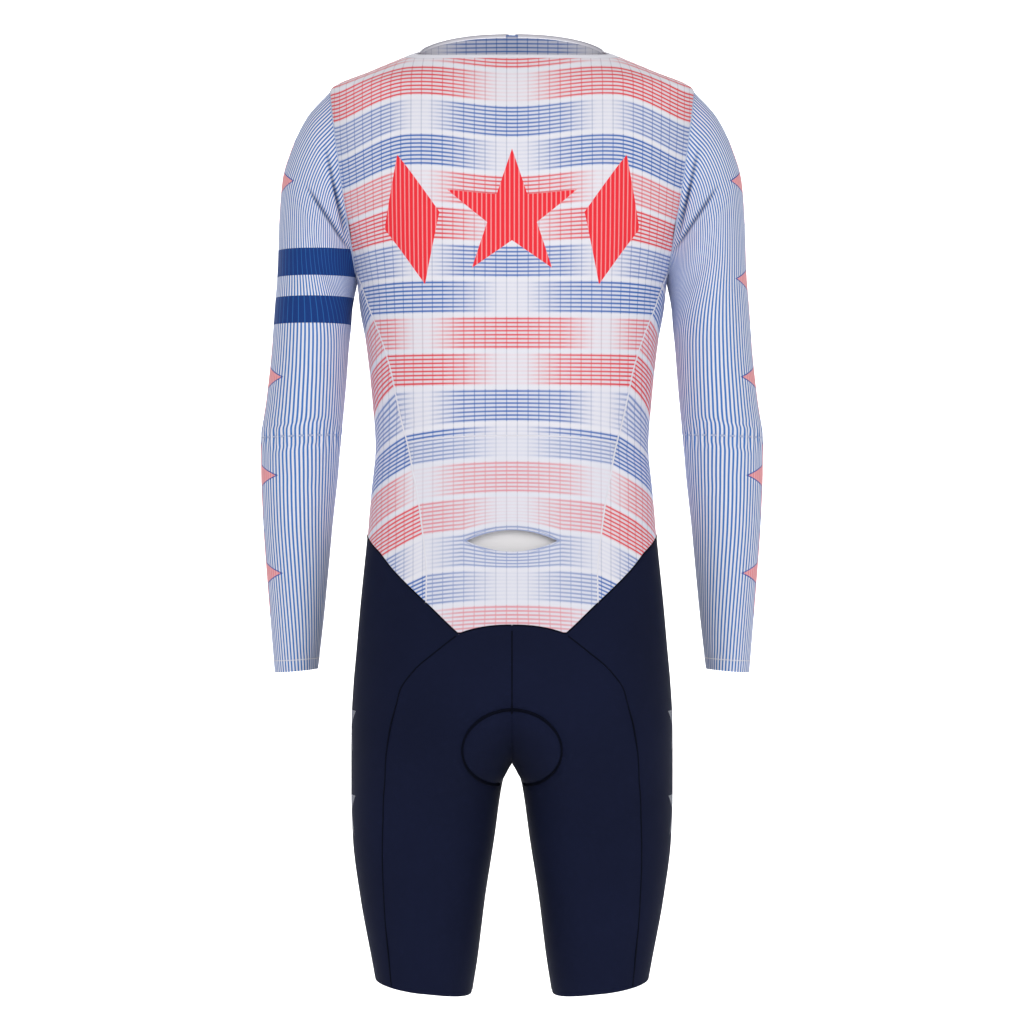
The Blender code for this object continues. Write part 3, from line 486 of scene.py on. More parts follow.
@dataclass(frozen=True)
class TopEdges:
    """Edges of the torso's panels, each as a function of a row number (angle, drop)."""

    binding: float = 4.0
    shoulder: int = 4
    armhole: int = 8
    back_side: int = 5
    pocket: int = 8
    under: tuple[float, float] = (150.0, 210.0)  # sleeve angles that the side panel meets
    front_side_angle: float = 105.0  # where the side panel's front seam meets the waist
    pocket_drop: float = 368.0  # of the side seam at the corner of the pocket panel
    zip_gap: float = 3.2

    @property
    def side(self) -> int:
        """Rows from the underarm to the waist."""
        return self.back_side + self.pocket

    def neck_seam(self, angle: Array) -> Array:
        """Drop of the seam between the binding and the panels."""
        return neck_edge(angle) + self.binding

    def shoulder_edge(self, i: float) -> tuple[float, float]:
        """The shoulder seam, from the binding out to the armhole."""
        return 90.0, mix(float(self.neck_seam(90.0)), FORM.armhole_top[1], i / self.shoulder)

    def back_edge(self, i: float) -> tuple[float, float]:
        """The right edge of the upper back: shoulder seam, armhole, side seam.

        Args:
            i: the row number, from 0 at the top.

        Returns:
            The angle and the drop there.
        """
        if i <= self.shoulder:
            return self.shoulder_edge(i)
        i -= self.shoulder
        if i <= self.armhole:
            return FORM.on_armhole(self.under[0] * i / self.armhole)
        return self.side_back_edge(i - self.armhole)

    def side_back_edge(self, i: float) -> tuple[float, float]:
        """The seam between the side panel and the back, from the armhole to the waist.

        Args:
            i: the row number, from 0 at the armhole.

        Returns:
            The angle and the drop there.
        """
        top = FORM.on_armhole(self.under[0])
        if i <= 0:
            return top
        if i <= self.back_side:
            drop = mix(top[1], self.pocket_drop, i / self.back_side)
        else:
            foot = float(waist_seam(30.0))
            drop = mix(self.pocket_drop, foot, (i - self.back_side) / self.pocket)
        return float(SIDE_SEAM.at("angle", drop)), drop

    def side_front_edge(self, i: float) -> tuple[float, float]:
        """The seam between the side panel and the front.

        Args:
            i: the row number, from 0 at the armhole.

        Returns:
            The angle and the drop there.
        """
        angle, drop = FORM.on_armhole(self.under[1])
        share = i / self.side
        foot = self.front_side_angle
        return mix(angle, foot, share), mix(drop, float(waist_seam(foot)), share)

    def front_edge(self, i: float) -> tuple[float, float]:
        """The outer edge of a front panel: shoulder seam, armhole, side seam.

        Args:
            i: the row number, from 0 at the top.

        Returns:
            The angle and the drop there.
        """
        if i <= self.shoulder:
            return self.shoulder_edge(i)
        i -= self.shoulder
        if i <= self.armhole:
            return FORM.on_armhole(360 - (360 - self.under[1]) * i / self.armhole)
        return self.side_front_edge(i - self.armhole)

    def zip_edge(self, i: float) -> tuple[float, float]:
        """The edge of a front panel beside the zip.

        Args:
            i: the row number, from 0 at the top.

        Returns:
            The angle and the drop there.
        """
        rows = self.shoulder + self.armhole + self.side
        drop = mix(float(self.neck_seam(180.0)), float(waist_seam(180.0)), i / rows)
        width = float(FORM.half_width(drop, BODY.at("front", drop), FORM.reach_before))
        return 180 - math.degrees(math.asin((self.zip_gap / width) ** (1 / ROUNDNESS))), drop

    def pocket_edge(self, i: float) -> tuple[float, float]:
        """The right edge of the pocket panel."""
        return self.side_back_edge(i + self.back_side)


TOP = TopEdges()


@dataclass(frozen=True)
class LegEdges:
    """Edges of the shorts' panels, each as a function of a row number (angle, drop)."""

    seat: int = 8
    thigh: int = 7
    under_crotch: float = 14.0  # how far below the crotch the outer seams' upper rows end

    @property
    def rows(self) -> int:
        """Rows from the waist to the hem."""
        return self.seat + self.thigh

    def centre(self, i: float, front: bool) -> tuple[float, float]:
        """The centre seam down to the crotch, then the inner leg seam to the hem.

        Args:
            i: the row number, from 0 at the top.
            front: whether it is the front seam, or the back one.

        Returns:
            The angle and the drop there.
        """
        waist = float(waist_seam(180.0 if front else 0.0))
        inside = 270.0 if front else -90.0
        if i <= self.seat:
            drop = mix(waist, FORM.crotch, math.sin(math.pi / 2 * i / self.seat))
            return FORM.middle_angle(drop, front), drop
        return inside, mix(FORM.crotch, float(hem(inside)), (i - self.seat) / self.thigh)

    def outer(self, i: float, seam: Table) -> tuple[float, float]:
        """A seam between the outer leg panel and the back or the front of the leg.

        Args:
            i: the row number, from 0 at the top.
            seam: the table of the seam.

        Returns:
            The angle and the drop there.
        """
        level = FORM.crotch + self.under_crotch
        if i <= self.seat:
            drop = mix(seam.places[0], level, i / self.seat)
        else:
            drop = mix(level, float(hem(seam.values[-1, 1])), (i - self.seat) / self.thigh)
        return float(seam.at("angle", drop)), drop


LEG = LegEdges()


# ---- Cloth -----------------------------------------------------------------------------
class Side(Enum):
    """Which half of the suit a piece is on, as its name says it."""

    RIGHT = "right"
    LEFT = "left"


@dataclass
class Cloth:
    """A grid of points on the outer face of one cut piece, with its print coordinates."""

    points: Array
    outward: Array
    prints: Array  # across and down the print, in metres
    tube: bool = False
    shade: Array | float = 0.0  # shadow at the bottom of sharp creases, 0 to 1

    def folded(self, folds: Sequence[Fold], side: float = 0.0) -> "Cloth":
        """Presses folds into the cloth, on its back and its front alike.

        Args:
            folds: the folds, placed for the right half.
            side: 1 or -1 keeps them to one half, 0 folds both.

        Returns:
            The same cloth.
        """
        x = np.abs(self.points[..., 0]) if side == 0 else self.points[..., 0] * side
        place = np.stack((x, -self.points[..., 2]), -1)
        shift, hidden = np.zeros(x.shape), np.zeros(x.shape)
        for fold in folds:
            start, end = np.array(fold.start), np.array(fold.end)
            along = end - start
            t = ((place - start) @ along) / (along @ along)
            taper = ease(t / 0.35 + 0.2) * ease((1 - t) / 0.35 + 0.2)
            from_line = place - start - np.clip(t, 0, 1)[..., None] * along
            away = np.linalg.norm(from_line, axis=-1) / fold.width
            across = (from_line @ np.array((along[1], -along[0]))) / np.linalg.norm(along)
            shift -= fold.depth * taper * np.exp(-(away**2))
            self.shade = self.shade + fold.shade * taper * np.exp(-((1.25 * away) ** 2))
            hidden += fold.tuck * taper * np.tanh(across / fold.width) * np.exp(-((away / 6) ** 2))
        self.points = self.points + self.outward * shift[..., None]
        if side == 0:
            hidden *= np.sign(self.points[..., 0])
        self.prints = self.prints + np.stack((MM * hidden, 0 * hidden), -1)
        return self

    def raised(self, height: Array) -> "Cloth":
        """Moves the cloth out by a height at each point."""
        self.points = self.points + self.outward * height[..., None]
        return self

    def mirrored(self) -> "Cloth":
        """The same cloth on the left half.

        Returns:
            The left cloth.
        """
        flip = np.array((-1.0, 1.0, 1.0))
        prints = self.prints * np.array((-1.0, 1.0))
        shade = np.broadcast_to(self.shade, self.points.shape[:2])[:, ::-1]
        points, outward = (self.points * flip)[:, ::-1], (self.outward * flip)[:, ::-1]
        return Cloth(points, outward, prints[:, ::-1], self.tube, shade)

    def cut(self) -> tuple[float, float]:
        """Size of the piece laid flat: its widest row and its longest column.

        Returns:
            The width and the length, in metres.
        """
        p = self.points * MM
        if self.tube:
            p = np.concatenate((p, p[:, :1]), 1)
        widths = np.linalg.norm(np.diff(p, axis=1), axis=-1).sum(1)
        lengths = np.linalg.norm(np.diff(p, axis=0), axis=-1).sum(0)
        return float(widths.max()), float(lengths.max())

    def shell(self, name: str, thickness: float = CLOTH_THICKNESS) -> bpy.types.Object:
        """Builds the cloth as a closed thin shell.

        Args:
            name: the object's name.
            thickness: how thick the cloth is.

        Returns:
            The object, with the print's coordinates as its UV map.
        """
        rows, cols = self.points.shape[:2]
        inner = self.points - self.outward * thickness
        verts = np.concatenate((self.points.reshape(-1, 3), inner.reshape(-1, 3))) * MM
        number = np.arange(rows * cols).reshape(rows, cols)
        right = np.roll(number, -1, 1) if self.tube else number[:, 1:]
        left = number if self.tube else number[:, :-1]
        a, b, c, d = left[:-1], left[1:], right[1:], right[:-1]
        outer = np.stack((a, b, c, d), -1).reshape(-1, 4)
        inside = np.stack((d, c, b, a), -1).reshape(-1, 4) + rows * cols
        rims = []
        for row, turned in ((0, False), (rows - 1, True)):
            near, far = left[row], right[row]
            rim = np.stack((near, far, far + rows * cols, near + rows * cols), -1)
            rims.append(rim[:, ::-1] if turned else rim)
        if not self.tube:
            for col, turned in ((0, True), (cols - 1, False)):
                near, far = number[:-1, col], number[1:, col]
                rim = np.stack((near, far, far + rows * cols, near + rows * cols), -1)
                rims.append(rim[:, ::-1] if turned else rim)
        faces = np.concatenate((outer, inside, *rims))
        mesh = bpy.data.meshes.new(name)
        mesh.from_pydata(verts.tolist(), [], faces.tolist())
        prints = np.concatenate((self.prints.reshape(-1, 2),) * 2)
        layer = mesh.uv_layers.new(name="print")
        layer.data.foreach_set("uv", prints[faces.reshape(-1)].astype(np.float32).ravel())
        shade = np.broadcast_to(self.shade, (rows, cols)).reshape(-1)
        values = np.concatenate((shade, shade)).clip(0, 1).astype(np.float32)
        mesh.attributes.new("crease_shade", "FLOAT", "POINT").data.foreach_set("value", values)
        mesh.shade_smooth()
        mesh.set_sharp_from_angle(angle=math.radians(60))
        obj = bpy.data.objects.new(name, mesh)
        bpy.context.scene.collection.objects.link(obj)
        return obj


def facing(surface: Surface, angle: Array, drop: Array) -> Array:
    """The outward normals of a surface.

    Args:
        surface: gives points for angles and drops.
        angle: angles round it.
        drop: drops down it.

    Returns:
        The normals there, measured over a little less than a millimetre.
    """
    turn, fall = 0.4, 0.8
    across = surface(angle + turn, drop) - surface(angle - turn, drop)
    down = surface(angle, drop + fall) - surface(angle, drop - fall)
    return unit(np.cross(down, across))


@dataclass(frozen=True)
class Pattern:
    """A cut piece between two edges, each a function of the row that gives (angle, drop)."""

    surface: Surface
    rows: int
    start: Edge
    end: Edge
    top: Callable[[Array], Array] | None = None
    bottom: Callable[[Array], Array] | None = None

    def grid(self, fine: int, shares: Sequence[float]) -> tuple[Array, Array]:
        """Lays out the piece.

        Args:
            fine: how many fine rows go to each row of the edges.
            shares: places of the columns, from the first edge, 0, to the last, 1.

        Returns:
            Angles and drops of its points.
        """
        numbers = np.linspace(0, self.rows, self.rows * fine + 1)
        starts = np.array([self.start(i) for i in numbers])[:, None]
        ends = np.array([self.end(i) for i in numbers])[:, None]
        share = np.array(shares)[None]
        angle, drop = (mix(starts[..., k], ends[..., k], share) for k in (0, 1))
        down = (numbers / self.rows)[:, None]
        moved = drop.copy()
        for seam, row, pull in ((self.top, 0, 1 - down), (self.bottom, -1, down)):
            if seam:
                moved = moved + (seam(angle[row]) - drop[row])[None] * pull**3
        return angle, moved


def shares_of(angles: Sequence[float], fine: int) -> list[float]:
    """Places of columns through these angles, with fine steps between them.

    Args:
        angles: the angles of the columns to keep.
        fine: how many fine steps lie between two of them.

    Returns:
        The places, from 0 to 1.
    """
    last = len(angles) - 1
    dense = np.interp(np.linspace(0, last, last * fine + 1), range(last + 1), angles)
    return list((dense - dense[0]) / (dense[-1] - dense[0]))


def left_edge(edge: Edge) -> Edge:
    """The mirror image of an edge."""
    return lambda i: (-edge(i)[0], edge(i)[1])


# ---- Finishes --------------------------------------------------------------------------
MATH, MAP, BLEND = "ShaderNodeMath", "ShaderNodeMapRange", "ShaderNodeMix"
NOISE, BUMP, PLACE = "ShaderNodeTexNoise", "ShaderNodeBump", "ShaderNodeTexCoord"
PAIR, VECTOR = "ShaderNodeCombineXYZ", "ShaderNodeVectorMath"
TIMES, MINUS, SIZE = ({"operation": name} for name in ("MULTIPLY", "SUBTRACT", "ABSOLUTE"))
PART, BELOW, MOST = ({"operation": name} for name in ("FRACT", "LESS_THAN", "MAXIMUM"))
TIMES_PLUS = {"operation": "MULTIPLY_ADD"}
RGBA = {"data_type": "RGBA"}


def add_node(
    tree: Tree, kind: str, settings: dict, links: dict | None = None, out: int | str = 0
) -> Socket:
    """Adds a node.

    Args:
        tree: the material's node tree.
        kind: the node's type.
        settings: values, by attribute name, or by input name or number.
        links: sockets to join, by input name or number.
        out: the number or name of the output that is wanted.

    Returns:
        That output socket.
    """
    node = tree.nodes.new(kind)
    for key, value in settings.items():
        if isinstance(key, str) and hasattr(node, key):
            setattr(node, key, value)
        else:
            node.inputs[key].default_value = value
    for key, source in (links or {}).items():
        tree.links.new(source, node.inputs[key])
    return node.outputs[out]


def start_material(name: str) -> tuple[bpy.types.Material, bpy.types.Node | None]:
    """Finds a material, or makes one.

    Args:
        name: the material's name.

    Returns:
        The material, and its shader if the nodes are still to be made.
    """
    made = bpy.data.materials.get(name)
    if made:
        return made, None
    made = bpy.data.materials.new(name)
    made.use_nodes = True
    return made, made.node_tree.nodes["Principled BSDF"]


@dataclass(frozen=True)
class Knit:
    """Warp-knitted polyester and elastane, smooth face: matt, with a faint sheen at the rims
    and a fine rib that is drawn about twice as coarse as the real 0.5 mm so that it shows."""

    name: str
    ground: str = "#ECEBF3"
    roughness: float = 0.75
    sheen: float = 0.08
    gloss: float = 0.2
    ior: float = 1.5
    sheen_roughness: float = 0.45
    rib_mm: float = 1.1
    rib_height: float = 0.00012
    relief: float = 0.35
    shadow: str = "#1F3566"  # at the bottom of a crease

    def colour(self, tree: Tree, across: Socket, down: Socket) -> Socket | None:
        """The cloth's colour.

        Args:
            tree: the material's node tree.
            across: socket with the place across the print.
            down: socket with the place down the print.

        Returns:
            The colour's socket, or None where the ground is plain.
        """
        return None

    def line(
        self, tree: Tree, place: Socket, pitch: float, width: float, soft: float = 0.07
    ) -> Socket:
        """Evenly spaced lines.

        Args:
            tree: the material's node tree.
            place: socket with the place across the lines, in metres.
            pitch: distance between lines, in metres.
            width: share of the pitch that a line covers.
            soft: share of the pitch over which its edge fades.

        Returns:
            A socket that is 1 on a line and 0 off it.
        """
        turned = add_node(tree, MATH, {**TIMES, 1: 1 / pitch}, {0: place})
        part = add_node(tree, MATH, PART, {0: turned})
        middle = add_node(tree, MATH, {**MINUS, 1: 0.5}, {0: part})
        away = add_node(tree, MATH, SIZE, {0: middle})
        spans = {"From Min": width / 2 - soft / 2, "From Max": width / 2 + soft / 2}
        return add_node(tree, MAP, {**spans, "To Min": 1.0, "To Max": 0.0}, {"Value": away})

    def star(self, tree: Tree, x: Socket, y: Socket, radius: float) -> Socket:
        """A five-pointed star that points up.

        Args:
            tree: the material's node tree.
            x: socket with the place across, from its centre, in metres.
            y: socket with the place down, from its centre, in metres.
            radius: distance from the centre to a tip, in metres.

        Returns:
            A socket that is 1 inside.
        """
        notch = 0.382 * radius
        lean = math.atan2(radius - notch * math.cos(math.pi / 5), notch * math.sin(math.pi / 5))
        edge = radius * math.cos(lean)
        up = add_node(tree, MATH, {**TIMES, 1: -1.0}, {0: y})
        place = add_node(tree, PAIR, {}, {0: x, 1: up})
        size = add_node(tree, VECTOR, {"operation": "LENGTH"}, {0: place}, "Value")
        turn = add_node(tree, MATH, {"operation": "ARCTAN2"}, {0: x, 1: up})
        fold = add_node(tree, MATH, {"operation": "PINGPONG", 1: math.pi / 5}, {0: turn})
        tilt = add_node(tree, MATH, {**MINUS, 1: lean}, {0: fold})
        reach = add_node(tree, MATH, {"operation": "COSINE"}, {0: tilt})
        far = add_node(tree, MATH, TIMES, {0: reach, 1: size})
        return add_node(tree, MATH, {**BELOW, 1: edge}, {0: far})

    def paint(self, tree: Tree, under: Socket | str, over: str, amount: Socket) -> Socket:
        """Lays a colour over another.

        Args:
            tree: the material's node tree.
            under: socket or hex colour below.
            over: hex colour above.
            amount: socket with how much of it covers.

        Returns:
            The mixed colour's socket.
        """
        settings, links = {**RGBA, 7: linear(over)}, {0: amount}
        if isinstance(under, str):
            settings[6] = linear(under)
        else:
            links[6] = under
        return add_node(tree, BLEND, settings, links, 2)

    def build(self) -> bpy.types.Material:
        """Makes the material, once for its name.

        Returns:
            The material.
        """
        made, shader = start_material(self.name)
        if not shader:
            return made
        tree = made.node_tree
        for socket, value in (
            ("Roughness", self.roughness), ("IOR", self.ior), ("Specular IOR Level", self.gloss),
            ("Sheen Weight", self.sheen), ("Sheen Roughness", self.sheen_roughness),
        ):
            shader.inputs[socket].default_value = value
        place = add_node(tree, "ShaderNodeUVMap", {"uv_map": "print"})
        across = add_node(tree, "ShaderNodeSeparateXYZ", {}, {0: place}, 0)
        down = add_node(tree, "ShaderNodeSeparateXYZ", {}, {0: place}, 1)
        colour = self.colour(tree, across, down)
        if colour is None:
            shader.inputs["Base Color"].default_value = linear(self.ground)
        else:
            named = {"attribute_name": "crease_shade"}
            depth = add_node(tree, "ShaderNodeAttribute", named, None, "Fac")
            colour = self.paint(tree, colour, self.shadow, depth)
            tree.links.new(colour, shader.inputs["Base Color"])
        rib = self.line(tree, across, self.rib_mm * MM, 0.5, 0.5)
        loop = self.line(tree, down, self.rib_mm * 0.8 * MM, 0.5, 0.5)
        height = add_node(tree, MATH, TIMES, {0: rib, 1: loop})
        depth = {"Strength": self.relief, "Distance": self.rib_height}
        bump = add_node(tree, BUMP, depth, {"Height": height})
        tree.links.new(bump, shader.inputs["Normal"])
        return made


@dataclass(frozen=True)
class BandedKnit(Knit):
    """White knit, sublimation printed: bands of fine red or blue lines that fade along their
    length, under thin upright hairlines. Print adds colour and no relief."""

    red: str = "#E4343F"
    blue: str = "#1D62B6"
    hair: str = "#A7AABC"
    band: float = 0.0364  # height of one band and the blank below it, in metres
    lines: int = 9
    hair_pitch: float = 0.0109
    wash: float = 0.17  # how much a band tints the cloth between its lines
    veil: float = 0.0  # share of pale cloth over the print, as on the doubled pocket panel
    veil_colour: str = "#DEE0EC"
    fade_width: float = 0.24  # metres from the middle over which the fades are laid out
    fades: tuple[tuple[tuple[float, float], ...], ...] = (
        ((0.0, 0.95), (0.22, 0.85), (0.36, 0.12), (0.42, 0.10), (0.54, 0.75), (1.0, 0.9)),
        ((0.0, 0.10), (0.06, 0.14), (0.20, 0.80), (0.30, 0.95), (0.52, 1.0), (1.0, 1.0)),
    )
    motif: bool = False
    motif_level: float = 0.186  # metres down the print
    motif_red: str = "#F5303C"
    pin: str = "#FFC9CC"
    pin_pitch: float = 0.0047
    star_radius: float = 0.069
    lozenge_place: tuple[float, float, float] = (0.104, 0.008, 0.0)
    lozenge_turn: float = 0.22
    lozenge_size: tuple[float, float, float] = (0.031, 0.066, 1.0)

    def strength(self, tree: Tree, across: Socket, odd: Socket) -> Socket:
        """How strongly the lines print along a band, which differs from band to band.

        Args:
            tree: the material's node tree.
            across: socket with the place across the print.
            odd: socket that is 1 in every other band.

        Returns:
            The strength's socket.
        """
        far = add_node(tree, MATH, SIZE, {0: across})
        share = add_node(tree, MATH, {**TIMES, 1: 1 / self.fade_width}, {0: far})
        found = []
        for stops in self.fades:
            ramp = add_node(tree, "ShaderNodeValToRGB", {}, {0: share})
            elements = ramp.node.color_ramp.elements
            while len(elements) < len(stops):
                elements.new(0.5)
            for element, (place, value) in zip(elements, stops):
                element.position, element.color = place, (value, value, value, 1.0)
            found.append(ramp)
        power = add_node(tree, BLEND, {"data_type": "FLOAT"}, {0: odd, 2: found[0], 3: found[1]})
        place = add_node(tree, PAIR, {}, {0: across, 1: odd})
        worn = add_node(tree, NOISE, {"Scale": 9.0, "Detail": 1.0}, {0: place})
        worn = add_node(tree, MAP, {"To Min": 0.72, "To Max": 1.12}, {"Value": worn})
        return add_node(tree, MATH, TIMES, {0: power, 1: worn})

    def colour(self, tree: Tree, across: Socket, down: Socket) -> Socket:
        """Bands, hairlines and, on the upper back, a star between two lozenges.

        Args:
            tree: the material's node tree.
            across: socket with the place across the print.
            down: socket with the place down the print.

        Returns:
            The colour's socket.
        """
        row = add_node(tree, MATH, {**TIMES, 1: 1 / self.band}, {0: down})
        number = add_node(tree, MATH, {"operation": "FLOOR"}, {0: row})
        within = add_node(tree, MATH, PART, {0: row})
        flags = []
        for cycle in (2, 4):
            part = add_node(tree, MATH, {**TIMES_PLUS, 1: 1 / cycle, 2: 0.01}, {0: number})
            part = add_node(tree, MATH, PART, {0: part})
            flags.append(add_node(tree, MATH, {"operation": "GREATER_THAN", 1: 0.49}, {0: part}))
        odd, is_blue = flags
        power = self.strength(tree, across, odd)
        line = self.line(tree, within, 1 / self.lines, 0.46, 0.16)
        inside = add_node(tree, MATH, {**BELOW, 1: 1 - 1 / self.lines}, {0: within})
        inks = {**RGBA, 6: linear(self.red), 7: linear(self.blue)}
        ink = add_node(tree, BLEND, inks, {0: is_blue}, 2)
        tint = add_node(tree, MATH, TIMES, {0: power, 1: inside})
        wash = add_node(tree, MATH, {**TIMES, 1: self.wash}, {0: tint})
        drawn = add_node(tree, MATH, TIMES, {0: tint, 1: line})
        cover = add_node(tree, MATH, MOST, {0: wash, 1: drawn})
        ground = {**RGBA, 6: linear(self.ground)}
        ground = add_node(tree, BLEND, ground, {0: cover, 7: ink}, 2)
        hair = self.line(tree, across, self.hair_pitch, 0.10, 0.06)
        bare = add_node(tree, MAP, {"To Min": 0.42, "To Max": 0.08}, {"Value": tint})
        faint = add_node(tree, MATH, TIMES, {0: hair, 1: bare})
        ground = self.paint(tree, ground, self.hair, faint)
        crossed = add_node(tree, MATH, TIMES, {0: hair, 1: tint})
        crossed = add_node(tree, MATH, {**TIMES, 1: 0.7}, {0: crossed})
        ground = add_node(tree, BLEND, RGBA, {0: crossed, 6: ground, 7: ink}, 2)
        if self.motif:
            ground = self.motifs(tree, ground, across, down)
        if self.veil:
            veil = {**RGBA, 0: self.veil, 7: linear(self.veil_colour)}
            ground = add_node(tree, BLEND, veil, {6: ground}, 2)
        return ground

    def motifs(self, tree: Tree, ground: Socket, across: Socket, down: Socket) -> Socket:
        """A pinstriped red star with a leaning lozenge on either side.

        Args:
            tree: the material's node tree.
            ground: socket with the colour below them.
            across: socket with the place across the print.
            down: socket with the place down the print.

        Returns:
            The colour's socket.
        """
        level = add_node(tree, MATH, {**MINUS, 1: self.motif_level}, {0: down})
        star = self.star(tree, across, level, self.star_radius)
        far = add_node(tree, MATH, SIZE, {0: across})
        place = add_node(tree, PAIR, {}, {0: far, 1: level})
        stands = {
            "vector_type": "TEXTURE", "Location": self.lozenge_place,
            "Rotation": (0, 0, self.lozenge_turn), "Scale": self.lozenge_size,
        }
        local = add_node(tree, "ShaderNodeMapping", stands, {0: place})
        size = add_node(tree, VECTOR, SIZE, {0: local})
        sum_up = {"operation": "DOT_PRODUCT", 1: (1, 1, 0)}
        total = add_node(tree, VECTOR, sum_up, {0: size}, "Value")
        lozenge = add_node(tree, MATH, {**BELOW, 1: 1.0}, {0: total})
        either = add_node(tree, MATH, MOST, {0: star, 1: lozenge})
        ground = self.paint(tree, ground, self.motif_red, either)
        pins = self.line(tree, across, self.pin_pitch, 0.26, 0.12)
        pale = add_node(tree, MATH, TIMES, {0: pins, 1: either})
        pale = add_node(tree, MATH, {**TIMES, 1: 0.55}, {0: pale})
        return self.paint(tree, ground, self.pin, pale)


@dataclass(frozen=True)
class StripedKnit(Knit):
    """White knit printed with blue pinstripes down the sleeve and a column of stars on its
    outer edge. Hoops are solid royal blue with paler hairlines."""

    stripe: str = "#3B75C0"
    pitch: float = 0.0045
    star_pitch: float = 0.101
    star_start: float = 0.0475
    star_size: float = 0.050
    star_edge: float = 0.0034  # width of the outline at a tip
    star_line: str = "#1E4FA4"
    star_fill: str = "#F3B3B8"
    star_hatch: str = "#E4636F"
    starless: tuple[tuple[float, float], ...] = ((-1.0, 0.047), (0.553, 1.0))
    behind: float = 1.0  # which way round the sleeve the stars' first tip points
    hoops: tuple[tuple[float, float], ...] = ()
    hoop: str = "#12397E"
    hoop_pin: str = "#2B6DB4"
    hoop_pitch: float = 0.0078

    def between(self, tree: Tree, down: Socket, low: float, high: float) -> Socket:
        """Marks a stretch of the print.

        Args:
            tree: the material's node tree.
            down: socket with the place down the print.
            low: where the stretch starts, in metres.
            high: where it ends.

        Returns:
            A socket that is 1 between the two.
        """
        away = add_node(tree, MATH, {**MINUS, 1: (low + high) / 2}, {0: down})
        away = add_node(tree, MATH, SIZE, {0: away})
        return add_node(tree, MATH, {**BELOW, 1: (high - low) / 2}, {0: away})

    def colour(self, tree: Tree, across: Socket, down: Socket) -> Socket:
        """Pinstripes, stars and hoops.

        Args:
            tree: the material's node tree.
            across: socket with the distance round the sleeve.
            down: socket with the place down it.

        Returns:
            The colour's socket.
        """
        stripes = self.line(tree, across, self.pitch, 0.47, 0.16)
        ground = self.paint(tree, self.ground, self.stripe, stripes)
        pitch = self.star_pitch
        scaled = {**TIMES_PLUS, 1: 1 / pitch, 2: -self.star_start / pitch}
        part = add_node(tree, MATH, scaled, {0: down})
        part = add_node(tree, MATH, PART, {0: part})
        local = add_node(tree, MATH, {**TIMES_PLUS, 1: pitch, 2: -pitch / 2}, {0: part})
        back = add_node(tree, MATH, {**TIMES, 1: -self.behind}, {0: across})
        outline = self.star(tree, local, back, self.star_size)
        fill = self.star(tree, local, back, self.star_size - self.star_edge)
        for low, high in self.starless:
            bare = self.between(tree, down, low, high)
            outline = add_node(tree, MATH, MINUS, {0: outline, 1: bare})
            fill = add_node(tree, MATH, MINUS, {0: fill, 1: bare})
        ground = self.paint(tree, ground, self.star_line, outline)
        ground = self.paint(tree, ground, self.star_fill, fill)
        hatch = add_node(tree, MATH, TIMES, {0: stripes, 1: fill})
        hatch = add_node(tree, MATH, {**TIMES, 1: 0.6}, {0: hatch})
        ground = self.paint(tree, ground, self.star_hatch, hatch)
        for low, high in self.hoops:
            on = self.between(tree, down, low, high)
            ground = self.paint(tree, ground, self.hoop, on)
            pins = self.line(tree, across, self.hoop_pitch, 0.10, 0.08)
            pins = add_node(tree, MATH, TIMES, {0: pins, 1: on})
            ground = self.paint(tree, ground, self.hoop_pin, pins)
        return ground


@dataclass(frozen=True)
class NavyKnit(Knit):
    """Dense navy warp knit of the shorts: dark and matt, and a little bluer where it is
    stretched. The outer panels carry two stars hatched in reflective grey."""

    ground: str = "#10152A"
    stretched: str = "#161C36"
    roughness: float = 0.8
    sheen: float = 0.01
    gloss: float = 0.07
    star_levels: tuple[float, ...] = ()
    star_radius: float = 0.038
    hatch: str = "#A7A9B3"
    hatch_pitch: float = 0.0030

    def colour(self, tree: Tree, across: Socket, down: Socket) -> Socket:
        """Slow changes of the navy, and the stars.

        Args:
            tree: the material's node tree.
            across: socket with the distance from the outer side of the leg.
            down: socket with the place down it.

        Returns:
            The colour's socket.
        """
        place = add_node(tree, PLACE, {}, None, "Object")
        cloud = add_node(tree, NOISE, {"Scale": 7.0, "Detail": 2.0}, {0: place})
        ground = self.paint(tree, self.ground, self.stretched, cloud)
        if not self.star_levels:
            return ground
        both = []
        for level in self.star_levels:
            local = add_node(tree, MATH, {**MINUS, 1: level}, {0: down})
            both.append(self.star(tree, across, local, self.star_radius))
        either = add_node(tree, MATH, MOST, {0: both[0], 1: both[1]})
        slope = add_node(tree, MATH, {"operation": "ADD"}, {0: across, 1: down})
        lines = self.line(tree, slope, self.hatch_pitch, 0.6, 0.2)
        shown = add_node(tree, MATH, TIMES, {0: lines, 1: either})
        return self.paint(tree, ground, self.hatch, shown)


@dataclass(frozen=True)
class LiningMesh(Knit):
    """Open pale-grey polyester mesh of the pocket: its small holes show as darker dots, which
    are drawn about twice as far apart as the real ones so that they show."""

    ground: str = "#F3F1F1"
    hole: str = "#C9C7CC"
    hole_pitch: float = 0.0024
    roughness: float = 0.8

    def colour(self, tree: Tree, across: Socket, down: Socket) -> Socket:
        """Dots in rows.

        Args:
            tree: the material's node tree.
            across: socket with the place across the mesh.
            down: socket with the place down it.

        Returns:
            The colour's socket.
        """
        one, two = (self.line(tree, way, self.hole_pitch, 0.4, 0.3) for way in (across, down))
        dot = add_node(tree, MATH, TIMES, {0: one, 1: two})
        dot = add_node(tree, MATH, {**TIMES, 1: 0.35}, {0: dot})
        return self.paint(tree, self.ground, self.hole, dot)


